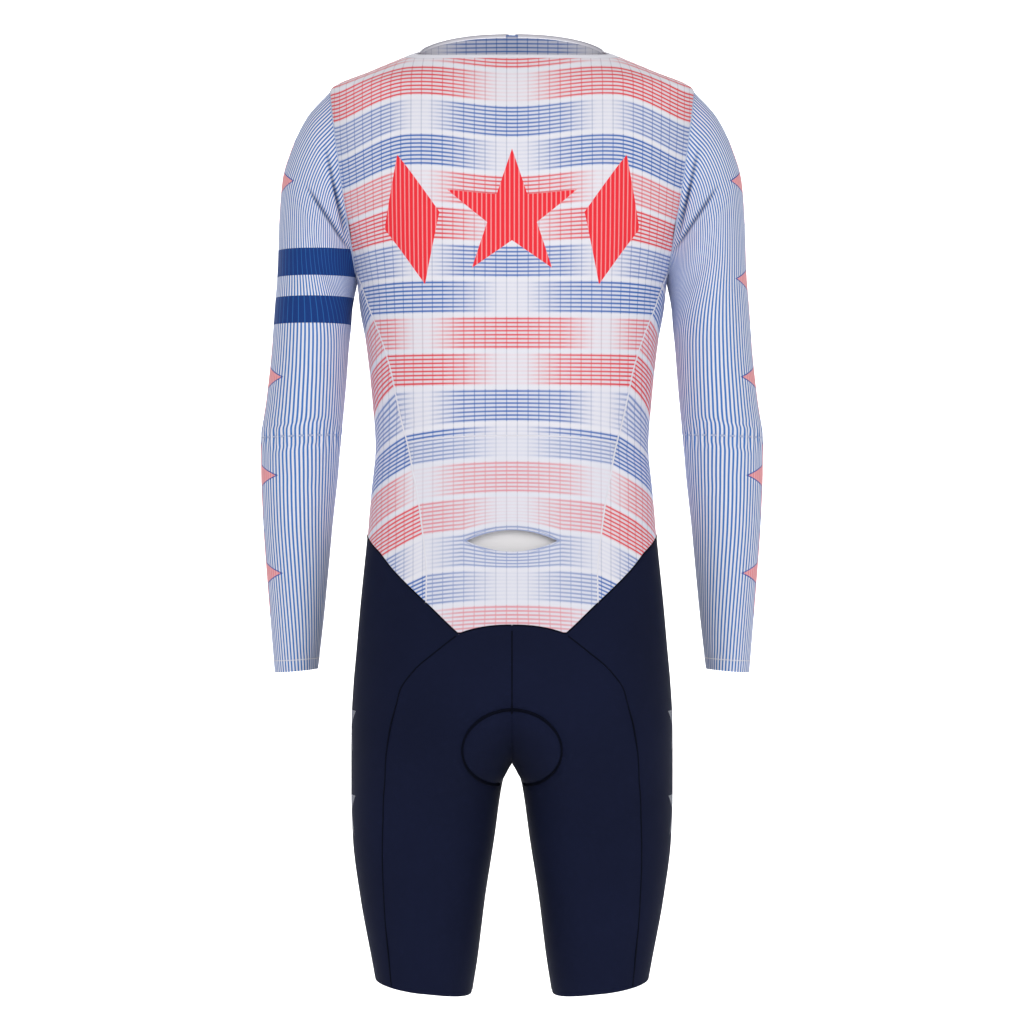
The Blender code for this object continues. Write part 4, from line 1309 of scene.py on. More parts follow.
@dataclass(frozen=True)
class Solid:
    """A material of one colour, varied a little by slow noise and roughened by fine noise."""

    name: str
    colour: str
    shade: str
    roughness: float
    metallic: float = 0.0
    gloss: float = 0.5
    grain_mm: float = 0.6
    grain_height: float = 0.00005
    roughness_spread: float = 0.06

    def build(self) -> bpy.types.Material:
        """Makes the material, once for its name.

        Returns:
            The material.
        """
        made, shader = start_material(self.name)
        if not shader:
            return made
        tree = made.node_tree
        shader.inputs["Metallic"].default_value = self.metallic
        shader.inputs["Specular IOR Level"].default_value = self.gloss
        place = add_node(tree, PLACE, {}, None, "Object")
        fine = {"Scale": 1 / (self.grain_mm * MM), "Detail": 3.0}
        grain = add_node(tree, NOISE, fine, {0: place})
        slow = add_node(tree, NOISE, {"Scale": 30.0}, {0: place})
        colours = {**RGBA, 6: linear(self.colour), 7: linear(self.shade)}
        colour = add_node(tree, BLEND, colours, {0: slow}, 2)
        tree.links.new(colour, shader.inputs["Base Color"])
        low, high = self.roughness - self.roughness_spread, self.roughness + self.roughness_spread
        rough = add_node(tree, MAP, {"To Min": low, "To Max": high}, {"Value": grain})
        tree.links.new(rough, shader.inputs["Roughness"])
        depth = {"Strength": 0.3, "Distance": self.grain_height}
        bump = add_node(tree, BUMP, depth, {"Height": grain})
        tree.links.new(bump, shader.inputs["Normal"])
        return made


# Spun polyester thread: slightly glossy, and whiter than the cloth it holds.
WHITE_THREAD, BLUE_THREAD, NAVY_THREAD = (
    Solid(f"{name}_polyester_thread", colour, shade, roughness, gloss=gloss, grain_mm=0.4)
    for name, colour, shade, roughness, gloss in (
        ("white", "#F4F3F8", "#E2E0EA", 0.6, 0.2),
        ("pale_blue", "#C3CEE8", "#AEBDDF", 0.6, 0.2),
        ("navy", "#0B0F20", "#080B18", 0.8, 0.06),
    )
)
# Extruded polyamide monofilament, wound to a coil: pale, with a soft plastic gloss.
COIL_NYLON = Solid("zip_coil_nylon", "#C9CEDF", "#B9C0D6", 0.38)
# Die-cast zinc, tumbled and plated: grey metal with blurred highlights.
CAST_ZINC = Solid("plated_zinc_casting", "#B9BBC0", "#A4A6AC", 0.3, metallic=1.0)

BACK_KNIT = BandedKnit("banded_knit_back", motif=True)
BODY_KNIT = BandedKnit("banded_knit")
FRONT_KNIT = BandedKnit("banded_knit_front", wash=0.32)
POCKET_KNIT = BandedKnit("banded_knit_doubled", veil=0.34)
BINDING_KNIT = Knit("white_binding_knit", ground="#E9E8F1")
RIGHT_SLEEVE_KNIT = StripedKnit("striped_knit_right")
LEFT_SLEEVE_KNIT = StripedKnit(
    "striped_knit_left", behind=-1.0, hoops=((0.168, 0.196), (0.217, 0.245)),
    starless=(*StripedKnit.starless, (0.149, 0.250)),
)
SHORTS_KNIT = NavyKnit("navy_warp_knit")
OUTER_LEG_KNIT = NavyKnit("navy_warp_knit_starred", star_levels=(0.655, 0.742))
POCKET_LINING = LiningMesh("grey_mesh_lining")


def dress(
    obj: bpy.types.Object, finish: Knit | Solid, nodes: Sequence[str] = (),
    body: str = "suit",
) -> bpy.types.Object:
    """Gives a piece its finish, attaches it to the body that it rides on and hides the solids that
    it replaces.

    Args:
        obj: the piece.
        finish: its material.
        nodes: the solids that it replaces.
        body: the body that it rides on.

    Returns:
        The same piece.
    """
    obj.data.materials.clear()
    obj.data.materials.append(finish.build())
    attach(obj, body)
    if nodes:
        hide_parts(*nodes)
    log.info("%s: %d faces", obj.name, len(obj.data.polygons))
    return obj


@dataclass(frozen=True)
class Piece:
    """What a cut piece is called, made of, stands for and hangs on. In these names * is the
    side that it is on."""

    name: str
    finishes: dict[Side, Knit] | Knit
    node: str
    slot: str
    held_by: tuple[str, ...]
    thickness: float = CLOTH_THICKNESS

    def make(self, cloth: Cloth, side: Side = Side.RIGHT) -> None:
        """Args:
            cloth: its cloth.
            side: the half of the suit that it is on.
        """
        finish = self.finishes[side] if isinstance(self.finishes, dict) else self.finishes
        obj = cloth.shell(self.name.replace("*", side.value), self.thickness)
        dress(obj, finish, [self.node.replace("*", side.value)])

    def make_pair(self, cloth: Cloth) -> None:
        """Makes the piece for the right half and its mirror image for the left."""
        for side, half in ((Side.RIGHT, cloth), (Side.LEFT, cloth.mirrored())):
            self.make(half, side)


# ---- The top ---------------------------------------------------------------------------
@dataclass
class Torso:
    """Back, pocket panel, side panels, fronts and neck binding."""

    fine: int = 8
    wave: float = 4.5  # how far the print dips between the shoulder blades
    shoulder_fall: float = 24.0  # how far it falls towards the shoulders
    pocket_rise: float = 9.0  # how far it rises at the middle of the pocket panel
    side_slope: float = 0.42  # how steeply it falls across a side panel
    back_start: float = 50.0  # print height at drop 0 on the back
    front_start: float = 138.0  # and on the fronts
    mouth: tuple[float, float, float] = (468.0, 46.0, 11.0)  # drop, half width, half height
    pocket_depth: float = 7.5
    pocket_gap: float = 2.4  # from the panel to the lining's edge
    pocket_past: tuple[float, float, float] = (18.0, 34.0, 58.0)  # beside, above, under the mouth
    lip: float = 0.8  # how far the pocket's mouth stands proud

    def cloth(self, surface: Surface, angle: Array, drop: Array, prints: Array) -> Cloth:
        """Cloth at these angles and drops."""
        return Cloth(surface(angle, drop), facing(surface, angle, drop), prints * MM)

    def back_print(self, angle: Array, drop: Array) -> Array:
        """Print coordinates behind the body: the bands dip at the middle of the upper back,
        fall towards the shoulders, and rise at the middle of the pocket panel.

        Args:
            angle: angles round the body, under 0 on the left half.
            drop: heights below the shoulders.

        Returns:
            Places across and down the print, in millimetres.
        """
        across = FORM.girth(angle, drop) * np.sign(angle)
        high = 1 - ease((drop - 60) / 190)
        sway = self.wave * np.cos(np.clip(across / 100, -1, 1) * math.pi)
        fall = self.shoulder_fall * ease((np.abs(across) - 105) / 95)
        low = ease((drop - 300) / 60) * self.pocket_rise * (across / 110) ** 2
        level, wide, tall = self.mouth
        lid = np.clip(1 - (across / (wide + 6)) ** 2, 0, 1) ** 1.5
        away = (drop - level) / (2.6 * tall)
        bend = -tall * 0.9 * lid * np.sign(away) * np.exp(-(away**2))
        down = drop - high * (sway + fall) - low + bend + self.back_start
        return np.stack((across, down), -1)

    def side_print(self, angle: Array, drop: Array) -> Array:
        """Print coordinates of a side panel, whose bands fall outwards from its seam.

        Args:
            angle: angles round the body.
            drop: heights below the shoulders.

        Returns:
            Places across and down the print, in millimetres.
        """
        seam = SIDE_SEAM.at("angle", drop)
        back = self.back_print(seam, drop)
        across = FORM.girth(angle, drop)
        beyond = np.maximum(across - back[..., 0], -20)
        return np.stack((across, back[..., 1] - self.side_slope * beyond), -1)

    def front_print(self, angle: Array, drop: Array) -> Array:
        """Print coordinates of a front, counted from its centre.

        Args:
            angle: angles round the body.
            drop: heights below the shoulders.

        Returns:
            Places across and down the print, in millimetres.
        """
        across = FORM.girth(np.full_like(angle, 180.0), drop) - FORM.girth(angle, drop)
        level = drop + self.wave * np.cos(np.clip(across / 200, 0, 1) * math.pi)
        return np.stack((across, level + self.front_start), -1)

    def build_back(self) -> None:
        """The upper back."""
        rows = TOP.shoulder + TOP.armhole + TOP.back_side
        pattern = Pattern(
            FORM.across, rows, left_edge(TOP.back_edge), TOP.back_edge, TOP.neck_seam, pocket_seam
        )
        angle, drop = pattern.grid(self.fine, np.linspace(0, 1, 113))
        cloth = self.cloth(FORM.across, angle, drop, self.back_print(angle, drop))
        cloth.folded(TORSO_FOLDS)
        held_by = ("worn_on_shoulders",)
        Piece("upper_back", BACK_KNIT, "back_upper", "white_knit", held_by).make(cloth)

    def build_sides(self) -> None:
        """The side panels."""
        pattern = Pattern(
            FORM.point, TOP.side, TOP.side_back_edge, TOP.side_front_edge, None, waist_seam
        )
        angle, drop = pattern.grid(self.fine, np.linspace(0, 1, 43))
        cloth = self.cloth(FORM.point, angle, drop, self.side_print(angle, drop))
        turns = np.linspace(*TOP.under, 43)
        cloth.points[0] = ARM.point(turns, 0.0)
        cloth.outward[0] = unit(np.array((0.5, 0.0, -1.0)))
        cloth.folded(TORSO_FOLDS)
        Piece("side_*", BODY_KNIT, "side_panel_*", "white_knit", ("upper_back",)).make_pair(cloth)

    def build_fronts(self) -> None:
        """The two fronts beside the zip."""
        rows = TOP.shoulder + TOP.armhole + TOP.side
        pattern = Pattern(FORM.point, rows, TOP.front_edge, TOP.zip_edge, TOP.neck_seam, waist_seam)
        angle, drop = pattern.grid(6, np.linspace(0, 1, 57))
        cloth = self.cloth(FORM.point, angle, drop, self.front_print(angle, drop))
        cloth.folded(TORSO_FOLDS)
        Piece("chest_*", FRONT_KNIT, "front_*", "white_knit", ("upper_back",)).make_pair(cloth)

    def build_binding(self) -> None:
        """The neck binding, rolled over the raw edge."""
        reach = TOP.zip_edge(0)[0]
        turns = np.linspace(-reach, reach, 241)
        across = np.linspace(0, 1, 7)[:, None]
        drop = neck_edge(turns)[None] + (TOP.binding - 0.3) * across
        turns = turns[None] + 0 * across
        prints = np.stack((FORM.girth(turns, drop) * np.sign(turns), drop), -1)
        cloth = self.cloth(FORM.across, turns, drop, prints)
        cloth.raised(0.5 * np.sin(math.pi * across) + 0 * drop)
        held_by = ("upper_back", "chest_left", "chest_right")
        Piece("neck_edge", BINDING_KNIT, "neck_binding", "white_knit", held_by, 1.5).make(cloth)

    def mouth_share(self, points: Array) -> Array:
        """How near points of the back lie to the mouth: under 1 is inside it.

        Args:
            points: points of the back.

        Returns:
            The shares.
        """
        level, wide, tall = self.mouth
        x, z = points[..., 0] / wide, (-points[..., 2] - level) / tall
        lid = np.clip(1 - x * x, 0.02, 1)
        return np.where(np.abs(x) < 1, np.abs(z) / lid, 1 + np.abs(x) + np.abs(z))

    def build_pocket(self) -> None:
        """The pocket panel with its mouth, its lining and the mouth's bound lips."""
        corners = steps(0, 16.0, 8) + steps(16.0, 30.0, 3)[1:]
        columns = [-turn for turn in corners[:0:-1]] + corners
        pattern = Pattern(
            FORM.across, TOP.pocket, left_edge(TOP.pocket_edge), TOP.pocket_edge, pocket_seam,
            waist_seam,
        )
        angle, drop = pattern.grid(9, shares_of(columns, 5))
        cloth = self.cloth(FORM.across, angle, drop, self.back_print(angle, drop))
        cloth.folded(TORSO_FOLDS)
        rim = np.exp(-np.clip(self.mouth_share(cloth.points) - 1, 0, 9) ** 2 * 3)
        obj = cloth.raised(rim * self.lip).shell("pocket_front")
        self.cut_mouth(obj)
        dress(obj, POCKET_KNIT, ["pocket_panel"])

        level, wide, _ = self.mouth
        beside, above, under = self.pocket_past
        x = np.linspace(-wide - beside, wide + beside, 49)[None]
        z = np.linspace(level - above, level + under, 33)[:, None]
        turn = FORM.angle_of(x + 0 * z, z + 0 * x) * np.sign(x)
        swell = np.sin(np.linspace(0, math.pi, 33)).clip(0)[:, None] ** 0.6
        swell = swell * np.sin(np.linspace(0, math.pi, 49)).clip(0)[None] ** 0.6
        prints = np.stack((x + 0 * z, z + 0 * x), -1)
        lining = self.cloth(FORM.across, turn, z + 0 * x, prints)
        lining.raised(-(self.pocket_gap + self.pocket_depth * swell))
        bag = Piece("pocket_bag", POCKET_LINING, "pocket_lining", "grey_lining", ("pocket_front",))
        bag.make(lining)

    def cut_mouth(self, obj: bpy.types.Object) -> None:
        """Cuts the eye-shaped mouth through the pocket panel.

        Args:
            obj: the panel, whose mesh is replaced.
        """
        level, wide, tall = self.mouth
        x = wide * np.sin(np.linspace(-math.pi / 2, math.pi / 2, 41))
        lid = tall * (1 - (x / wide) ** 2)
        ring = np.concatenate((np.stack((x, lid), -1), np.stack((x, -lid), -1)[-2:0:-1]))
        count = len(ring)
        x, z = ring[:, 0], ring[:, 1] - level
        ends = [np.column_stack((x, np.full(count, y), z)) for y in (-200, -50)]
        sides = [(i, (i + 1) % count, (i + 1) % count + count, i + count) for i in range(count)]
        mesh = bpy.data.meshes.new("mouth_cutter")
        caps = [tuple(range(count))[::-1], tuple(range(count, 2 * count))]
        mesh.from_pydata((np.concatenate(ends) * MM).tolist(), [], sides + caps)
        mesh.validate()
        cutter = bpy.data.objects.new("mouth_cutter", mesh)
        bpy.context.scene.collection.objects.link(cutter)
        cut = obj.modifiers.new("mouth", "BOOLEAN")
        cut.operation, cut.object = "DIFFERENCE", cutter
        bpy.context.view_layer.update()
        shape = bpy.data.meshes.new_from_object(
            obj.evaluated_get(bpy.context.evaluated_depsgraph_get())
        )
        obj.modifiers.clear()
        obj.data = shape
        bpy.data.objects.remove(cutter)

    def build(self) -> None:
        """Builds every piece of the torso."""
        self.build_back()
        self.build_sides()
        self.build_fronts()
        self.build_binding()
        self.build_pocket()


@dataclass
class Sleeves:
    """Upper and lower sleeves, which meet at the elbow seam."""

    elbow: int = 9
    cuff: int = 14
    around: int = 200
    puckers: int = 26  # small gathers along the elbow seam
    pucker_height: float = 1.0
    pucker_reach: float = 11.0  # how far from the seam they fade
    seam_depth: float = 0.6  # how deep the elbow seam sinks

    def build(self) -> None:
        """Builds the four pieces."""
        turns = np.linspace(0, 360, self.around, endpoint=False)[None]
        for name, first, last, fine in (
            ("upper", 0, self.elbow, 24), ("lower", self.elbow, self.cuff, 18),
        ):
            station = np.linspace(first, last, (last - first) * fine + 1)[:, None]
            points = ARM.point(turns, station)
            low, high = ARM.point(turns, station + 0.05), ARM.point(turns, station - 0.05)
            if first == 0:
                high[0] = points[0]
            side = ARM.point(turns + 1, station) - ARM.point(turns - 1, station)
            outward = unit(np.cross(side, low - high))
            arc = ARM.around(turns, station)
            if first:  # below the elbow the stripes draw together, but less than the sleeve does
                widest = ARM.around(180.0, float(self.elbow))
                arc *= np.sqrt(widest / ARM.around(180.0, station)).clip(1.0)
            prints = np.stack((arc, -points[..., 2]), -1) * MM
            seam = float(SLEEVE.at("outer_drop", self.elbow))
            near = np.exp(-(((-points[..., 2] - seam) / self.pucker_reach) ** 2))
            gather = near * self.pucker_height * np.sin(np.radians(turns) * self.puckers)
            cloth = Cloth(points, outward, prints, tube=True)
            cloth.raised(gather - self.seam_depth * near**3).folded(SLEEVE_FOLDS, 1.0)
            above = "upper_back" if first == 0 else "upper_sleeve_*"
            knits = {Side.RIGHT: RIGHT_SLEEVE_KNIT, Side.LEFT: LEFT_SLEEVE_KNIT}
            piece = Piece(f"{name}_sleeve_*", knits, f"sleeve_{name}_*", "sleeve_knit", (above,))
            piece.make_pair(cloth)


@dataclass
class Shorts:
    """Seat, outer and front panel of each leg."""

    fine: int = 10
    pad: tuple[float, float, float] = (680.0, 52.0, 41.0)  # drop, half width, half height
    pad_height: float = 2.6
    groove: float = 2.4
    star_back: float = 12.0  # how far behind the outer side of the leg the stars stand
    star_from: float = 480.0  # drop from which the outer side is followed
    parting: float = 0.12  # half the gap between the two halves at the middle seam

    def pad_share(self, x: Array, drop: Array) -> Array:
        """How near a place lies to the pad's edge: 1 is on it."""
        return np.hypot(x / self.pad[1], (drop - self.pad[0]) / self.pad[2])

    def pad_form(self, points: Array) -> Array:
        """How far the seat pad pushes the cloth out, with a groove along its sewn edge.

        Args:
            points: points of the seat.

        Returns:
            The heights, in millimetres.
        """
        share = self.pad_share(points[..., 0], -points[..., 2])
        behind = ease((-points[..., 1] - 10) / 25)
        swell = self.pad_height * ease((1.05 - share) / 0.4)
        return (swell - self.groove * np.exp(-(((share - 1) / 0.065) ** 2))) * behind

    def build(self) -> None:
        """Builds the six panels."""
        side = steps(16.0, 30.0, 3) + steps(30.0, 105.0, 6)[1:]
        fore = steps(105.0, TOP.zip_edge(25)[0], 7) + [180.0]
        panels = (
            ("seat", Pattern(FORM.point, LEG.rows, lambda i: LEG.centre(i, False),
                             lambda i: LEG.outer(i, OUTER_BACK), waist_seam, hem),
             shares_of(steps(0, 1, 8), 9), SHORTS_KNIT, "seat_*", "pocket_front"),
            ("outer_leg", Pattern(FORM.point, LEG.rows, lambda i: LEG.outer(i, OUTER_BACK),
                                  lambda i: LEG.outer(i, OUTER_FRONT), waist_seam, hem),
             shares_of(side, 6), OUTER_LEG_KNIT, "leg_outer_*", "side_*"),
            ("front_leg", Pattern(FORM.point, LEG.rows, lambda i: LEG.outer(i, OUTER_FRONT),
                                  lambda i: LEG.centre(i, True), waist_seam, hem),
             shares_of(fore, 6), SHORTS_KNIT, "leg_front_*", "chest_*"),
        )
        for name, pattern, shares, finish, node, above in panels:
            angle, drop = pattern.grid(self.fine, shares)
            points = FORM.point(angle, drop)
            outward = facing(FORM.point, angle, drop)
            level = np.maximum(drop, self.star_from)
            outer = FORM.point(np.full_like(angle, 90.0), level)
            arc = np.sign(angle - 90) * np.linalg.norm((points - outer)[..., :2], axis=-1)
            arc += self.star_back
            cloth = Cloth(points, outward, np.stack((arc, drop), -1) * MM)
            if name == "seat":
                cloth.raised(self.pad_form(points))
            cloth.folded(SHORTS_FOLDS)
            middle = 0 if name == "seat" else -1 if name == "front_leg" else None
            if middle is not None:
                last = LEG.seat * self.fine + 1
                cloth.points[:last, middle, 0] = self.parting
                cloth.outward[:last, middle, 0] = 0.0
            Piece(f"{name}_panel_*", finish, node, "navy_knit", (above,)).make_pair(cloth)


# ---- Sewing ----------------------------------------------------------------------------
@dataclass
class SeamLine:
    """A flatlock seam along a path: a narrow ridge of cloth under a zigzag of thread."""

    points: Array
    outward: Array
    width: float = 2.6
    height: float = 0.35
    stitch: float = 1.6
    thread: float = 0.16

    def even(self, spacing: float) -> tuple[Array, Array]:
        """The path's points and normals at an even spacing.

        Args:
            spacing: the distance between points.

        Returns:
            The points and the normals.
        """
        gaps = np.linalg.norm(np.diff(self.points, axis=0), axis=1)
        along = np.concatenate(([0.0], np.cumsum(gaps)))
        wanted = np.linspace(0, along[-1], max(int(along[-1] / spacing), 2) + 1)
        points = np.stack([np.interp(wanted, along, self.points[:, k]) for k in range(3)], -1)
        ways = np.stack([np.interp(wanted, along, self.outward[:, k]) for k in range(3)], -1)
        return points, unit(ways)

    @staticmethod
    def tube(path: Array, ways: Array, profile: Array) -> tuple[Array, Array]:
        """Sweeps a closed profile along a path.

        Args:
            path: points along it.
            ways: the outward direction at each.
            profile: points of the profile, as (sideways, outward).

        Returns:
            Vertices and quads.
        """
        along = unit(np.gradient(path, axis=0))
        side = unit(np.cross(along, ways))
        offset = side[:, None] * profile[None, :, :1]
        verts = path[:, None] + offset + ways[:, None] * profile[None, :, 1:]
        count, sides = verts.shape[:2]
        number = np.arange(count * sides).reshape(count, sides)
        nxt = np.roll(number, -1, 1)
        quads = np.stack((number[:-1], number[1:], nxt[1:], nxt[:-1]), -1).reshape(-1, 4)
        return verts.reshape(-1, 3), quads

    def ridge(self) -> tuple[Array, Array]:
        """The narrow raised band.

        Returns:
            Its vertices and quads.
        """
        w, h = self.width / 2, self.height
        profile = np.array(((-w, -0.2), (-w * 0.7, h * 0.8), (0, h), (w * 0.7, h * 0.8), (w, -0.2)))
        points, ways = self.even(4.0)
        return self.tube(points, ways, profile)

    def zigzag(self) -> tuple[Array, Array]:
        """The thread that crosses the band to and fro.

        Returns:
            Its vertices and quads.
        """
        points, ways = self.even(self.stitch)
        along = unit(np.gradient(points, axis=0))
        side = unit(np.cross(along, ways))
        turn = np.where(np.arange(len(points)) % 2, 1.0, -1.0)[:, None]
        path = points + side * turn * self.width * 0.36 + ways * (self.height + self.thread * 0.5)
        r = self.thread
        return self.tube(path, ways, np.array(((-r, 0), (0, r), (r, 0), (0, -r))))

    def topstitch(self) -> tuple[Array, Array]:
        """A plain row of stitches without a band.

        Returns:
            Its vertices and quads.
        """
        points, ways = self.even(self.stitch)
        lift = np.where(np.arange(len(points)) % 2, self.thread, -self.thread * 0.3)[:, None]
        r = self.thread
        return self.tube(points + ways * lift, ways, np.array(((-r, 0), (0, r), (r, 0), (0, -r))))


def joined(name: str, shapes: Sequence[tuple[Array, Array]]) -> bpy.types.Object:
    """One object from several shapes of vertices and quads.

    Args:
        name: the object's name.
        shapes: pairs of vertices and quads.

    Returns:
        The object.
    """
    verts, faces, start = [], [], 0
    for points, quads in shapes:
        verts.append(points)
        faces.append(quads + start)
        start += len(points)
    mesh = bpy.data.meshes.new(name)
    mesh.from_pydata((np.concatenate(verts) * MM).tolist(), [], np.concatenate(faces).tolist())
    mesh.shade_smooth()
    obj = bpy.data.objects.new(name, mesh)
    bpy.context.scene.collection.objects.link(obj)
    return obj


def seam_on(surface: Surface, angle: Array, drop: Array, **size: float) -> SeamLine:
    """A seam over places on a surface, whose sizes are given as SeamLine's own."""
    return SeamLine(surface(angle, drop), facing(surface, angle, drop), **size)


@dataclass
class Sewing:
    """Every seam that shows on the outside."""

    count: int = 90
    round_count: int = 121
    cuff_row: float = 13.8  # station of the stitches above the cuff's edge
    sunk: float = 1.2  # how deep the pad's seam lies in its groove
    hidden_foot: float = 24.0  # degrees either side of an armhole's foot that have no seam

    def line(self, edge: Edge, first: float, last: float, **size: float) -> SeamLine:
        """A seam along an edge of the right half.

        Args:
            edge: gives angle and drop for a row number.
            first: the row number where the seam starts.
            last: the row number where it ends.
            **size: sizes of the seam, as SeamLine's own.

        Returns:
            The seam.
        """
        places = np.array([edge(i) for i in np.linspace(first, last, self.count)])
        return seam_on(FORM.point, places[:, 0], places[:, 1], **size)

    def both(self, line: SeamLine) -> list[SeamLine]:
        """A seam and its mirror image.

        Args:
            line: a seam on the right half.

        Returns:
            That seam and the left one.
        """
        flip = np.array((-1.0, 1.0, 1.0))
        points, outward = (line.points * flip)[::-1], (line.outward * flip)[::-1]
        return [line, replace(line, points=points, outward=outward)]

    def armhole(self) -> SeamLine:
        """The seam round the right armhole, apart from its foot under the arm.

        Returns:
            The seam.
        """
        turns = np.linspace(4, 356, 150)
        points = ARM.point(turns, 0.0)
        along = unit(np.gradient(points, axis=0))
        sleeve = unit(np.cross(ARM.point(turns + 1, 0.0) - ARM.point(turns - 1, 0.0),
                               ARM.point(turns, 0.05) - points))
        places = np.array([FORM.on_armhole(turn) for turn in turns])
        torso = facing(FORM.point, places[:, 0], places[:, 1])
        out = unit(sleeve + torso)
        out = unit(out - along * (out * along).sum(-1, keepdims=True))
        keep = np.abs(turns - 180) > self.hidden_foot
        return SeamLine(points[keep], out[keep])

    def pad_seam(self) -> SeamLine:
        """The right half of the seam that holds the seat pad.

        Returns:
            The seam, sunk into the pad's groove.
        """
        turn = np.linspace(math.radians(1), math.radians(174), 120)
        level, wide, tall = Shorts().pad
        x, drop = wide * np.sin(turn), level - tall * np.cos(turn)
        seam = seam_on(FORM.point, FORM.angle_of(x, drop), drop, width=3.6, height=0.5, thread=0.3)
        keep = seam.points[:, 1] < -30
        seam.points = seam.points[keep] - seam.outward[keep] * self.sunk
        seam.outward = seam.outward[keep]
        return seam

    def sleeve_ring(self, station: float) -> tuple[Array, Array]:
        """A ring round the right sleeve.

        Args:
            station: its place down the sleeve.

        Returns:
            Its points and level outward directions.
        """
        ring = ARM.point(np.linspace(0, 360, self.round_count), station)
        return ring, unit((ring - ring.mean(0)) * np.array((1, 1, 0)))

    def build(self) -> None:
        """Builds the seams in three colours of thread, then the rows of stitches."""
        narrow = {"width": 1.8, "height": 0.22}
        across = np.linspace(-45.8, 45.8, self.count)
        white = [seam_on(FORM.across, across, pocket_seam(across), **narrow)]
        for edge, first, last in (
            (TOP.side_back_edge, 0.15, TOP.side), (TOP.side_front_edge, 0.15, TOP.side),
            (TOP.shoulder_edge, 0.1, TOP.shoulder - 0.1),
        ):
            white += self.both(self.line(edge, first, last, **narrow))
        self.piece("white_seams", white, WHITE_THREAD, "white_knit")

        elbow, out = self.sleeve_ring(Sleeves().elbow)
        sleeve = self.both(SeamLine(elbow - out * 0.4, out, 1.6, 0.2)) + self.both(self.armhole())
        self.piece("sleeve_seams", sleeve, BLUE_THREAD, "sleeve_knit")

        turns = np.concatenate((np.linspace(0, 16, 30), np.linspace(16, 179, 160)[1:]))
        waist = seam_on(FORM.point, turns, waist_seam(turns), width=2.0, height=0.25)
        navy = self.both(waist)
        for table in (OUTER_BACK, OUTER_FRONT):
            line = self.line(lambda i, t=table: LEG.outer(i, t), 0.1, LEG.rows - 0.05, **narrow)
            navy += self.both(line)
        for front in (False, True):
            edge = partial(LEG.centre, front=front)
            if not front:
                navy += self.both(self.line(edge, LEG.seat + 0.4, LEG.rows - 0.05, **narrow))
            middle = self.line(edge, 0.2, LEG.seat - 0.6, **narrow)
            middle.points[:, 0] = 0.0
            middle.outward[:, 0] = 0.0
            middle.outward = unit(middle.outward)
            navy.append(middle)
        navy += self.both(self.pad_seam())
        self.piece("navy_seams", navy, NAVY_THREAD, "navy_knit")
        self.build_rows()

    def piece(self, name: str, lines: Sequence[SeamLine], thread: Solid, slot: str) -> None:
        """One object with the bands and threads of several seams."""
        shapes = [shape for line in lines for shape in (line.ridge(), line.zigzag())]
        dress(joined(name, shapes), thread, ())

    def build_rows(self) -> None:
        """Plain rows of stitches at the cuffs and round the pocket's mouth."""
        cuff, out = self.sleeve_ring(self.cuff_row)
        cuff_line = SeamLine(cuff, out, thread=0.45, stitch=2.0)
        cuffs = [line.topstitch() for line in self.both(cuff_line)]
        dress(joined("cuff_stitches", cuffs), WHITE_THREAD, ())
        level, wide, tall = Torso().mouth
        turn = np.linspace(0, 2 * math.pi, 141)
        x = (wide + 3) * np.cos(turn)
        drop = level - (tall + 3.2) * np.sign(np.sin(turn)) * (1 - np.cos(turn) ** 2)
        angle = FORM.angle_of(x, drop) * np.sign(x)
        mouth = seam_on(FORM.across, angle, drop, thread=0.25, stitch=1.8)
        mouth.points = mouth.points + mouth.outward * Torso().lip
        dress(joined("mouth_stitches", [mouth.topstitch()]), BLUE_THREAD, ())


# ---- The zip ---------------------------------------------------------------------------
@dataclass
class Zip:
    """The coil strip down the front, with its slider and pull."""

    half: float = 6.2  # half width of the tape, most of it under the fronts
    tooth: float = 2.2  # spacing of the coil's turns, twice the real one so that they show
    rows: int = 220
    guard_depth: float = 1.05  # of the guard strip under the fronts' outer face
    coil_depth: float = 0.9

    def build(self) -> None:
        """Builds tape and coil, and finishes the slider and the pull."""
        top, foot = float(neck_edge(180.0)) + 1.2, float(waist_seam(180.0)) - 0.3
        drop = np.linspace(top, foot, self.rows)
        centre = FORM.point(np.full(self.rows, 180.0), drop)
        out = facing(FORM.point, np.full(self.rows, 179.0), drop)
        out[:, 0] = 0.0
        out = unit(out)
        x = np.array((self.half, 0.0, -self.half))
        points = centre[:, None] + np.stack((x, 0 * x, 0 * x), -1)[None]
        level = Torso().front_print(np.full(self.rows, 180.0), drop)[:, None, 1]
        prints = np.stack((x[None] + 0 * level, level + 0 * x[None]), -1) * MM
        ways = np.repeat(out[:, None], len(x), 1)
        guard = Cloth(points - ways * self.guard_depth, ways, prints)
        obj = dress(guard.shell("zip_guard", 0.5), FRONT_KNIT, ())
        line = SeamLine(
            centre - out * self.coil_depth, out, width=5.4, height=0.3, stitch=self.tooth / 2,
            thread=0.45,
        )
        dress(joined("zip_teeth", [line.zigzag()]), COIL_NYLON, ["zip_coil"])
        for name in ("zip_slider", "zip_pull"):
            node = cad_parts[name]
            node.data.materials.clear()
            node.data.materials.append(CAST_ZINC.build())


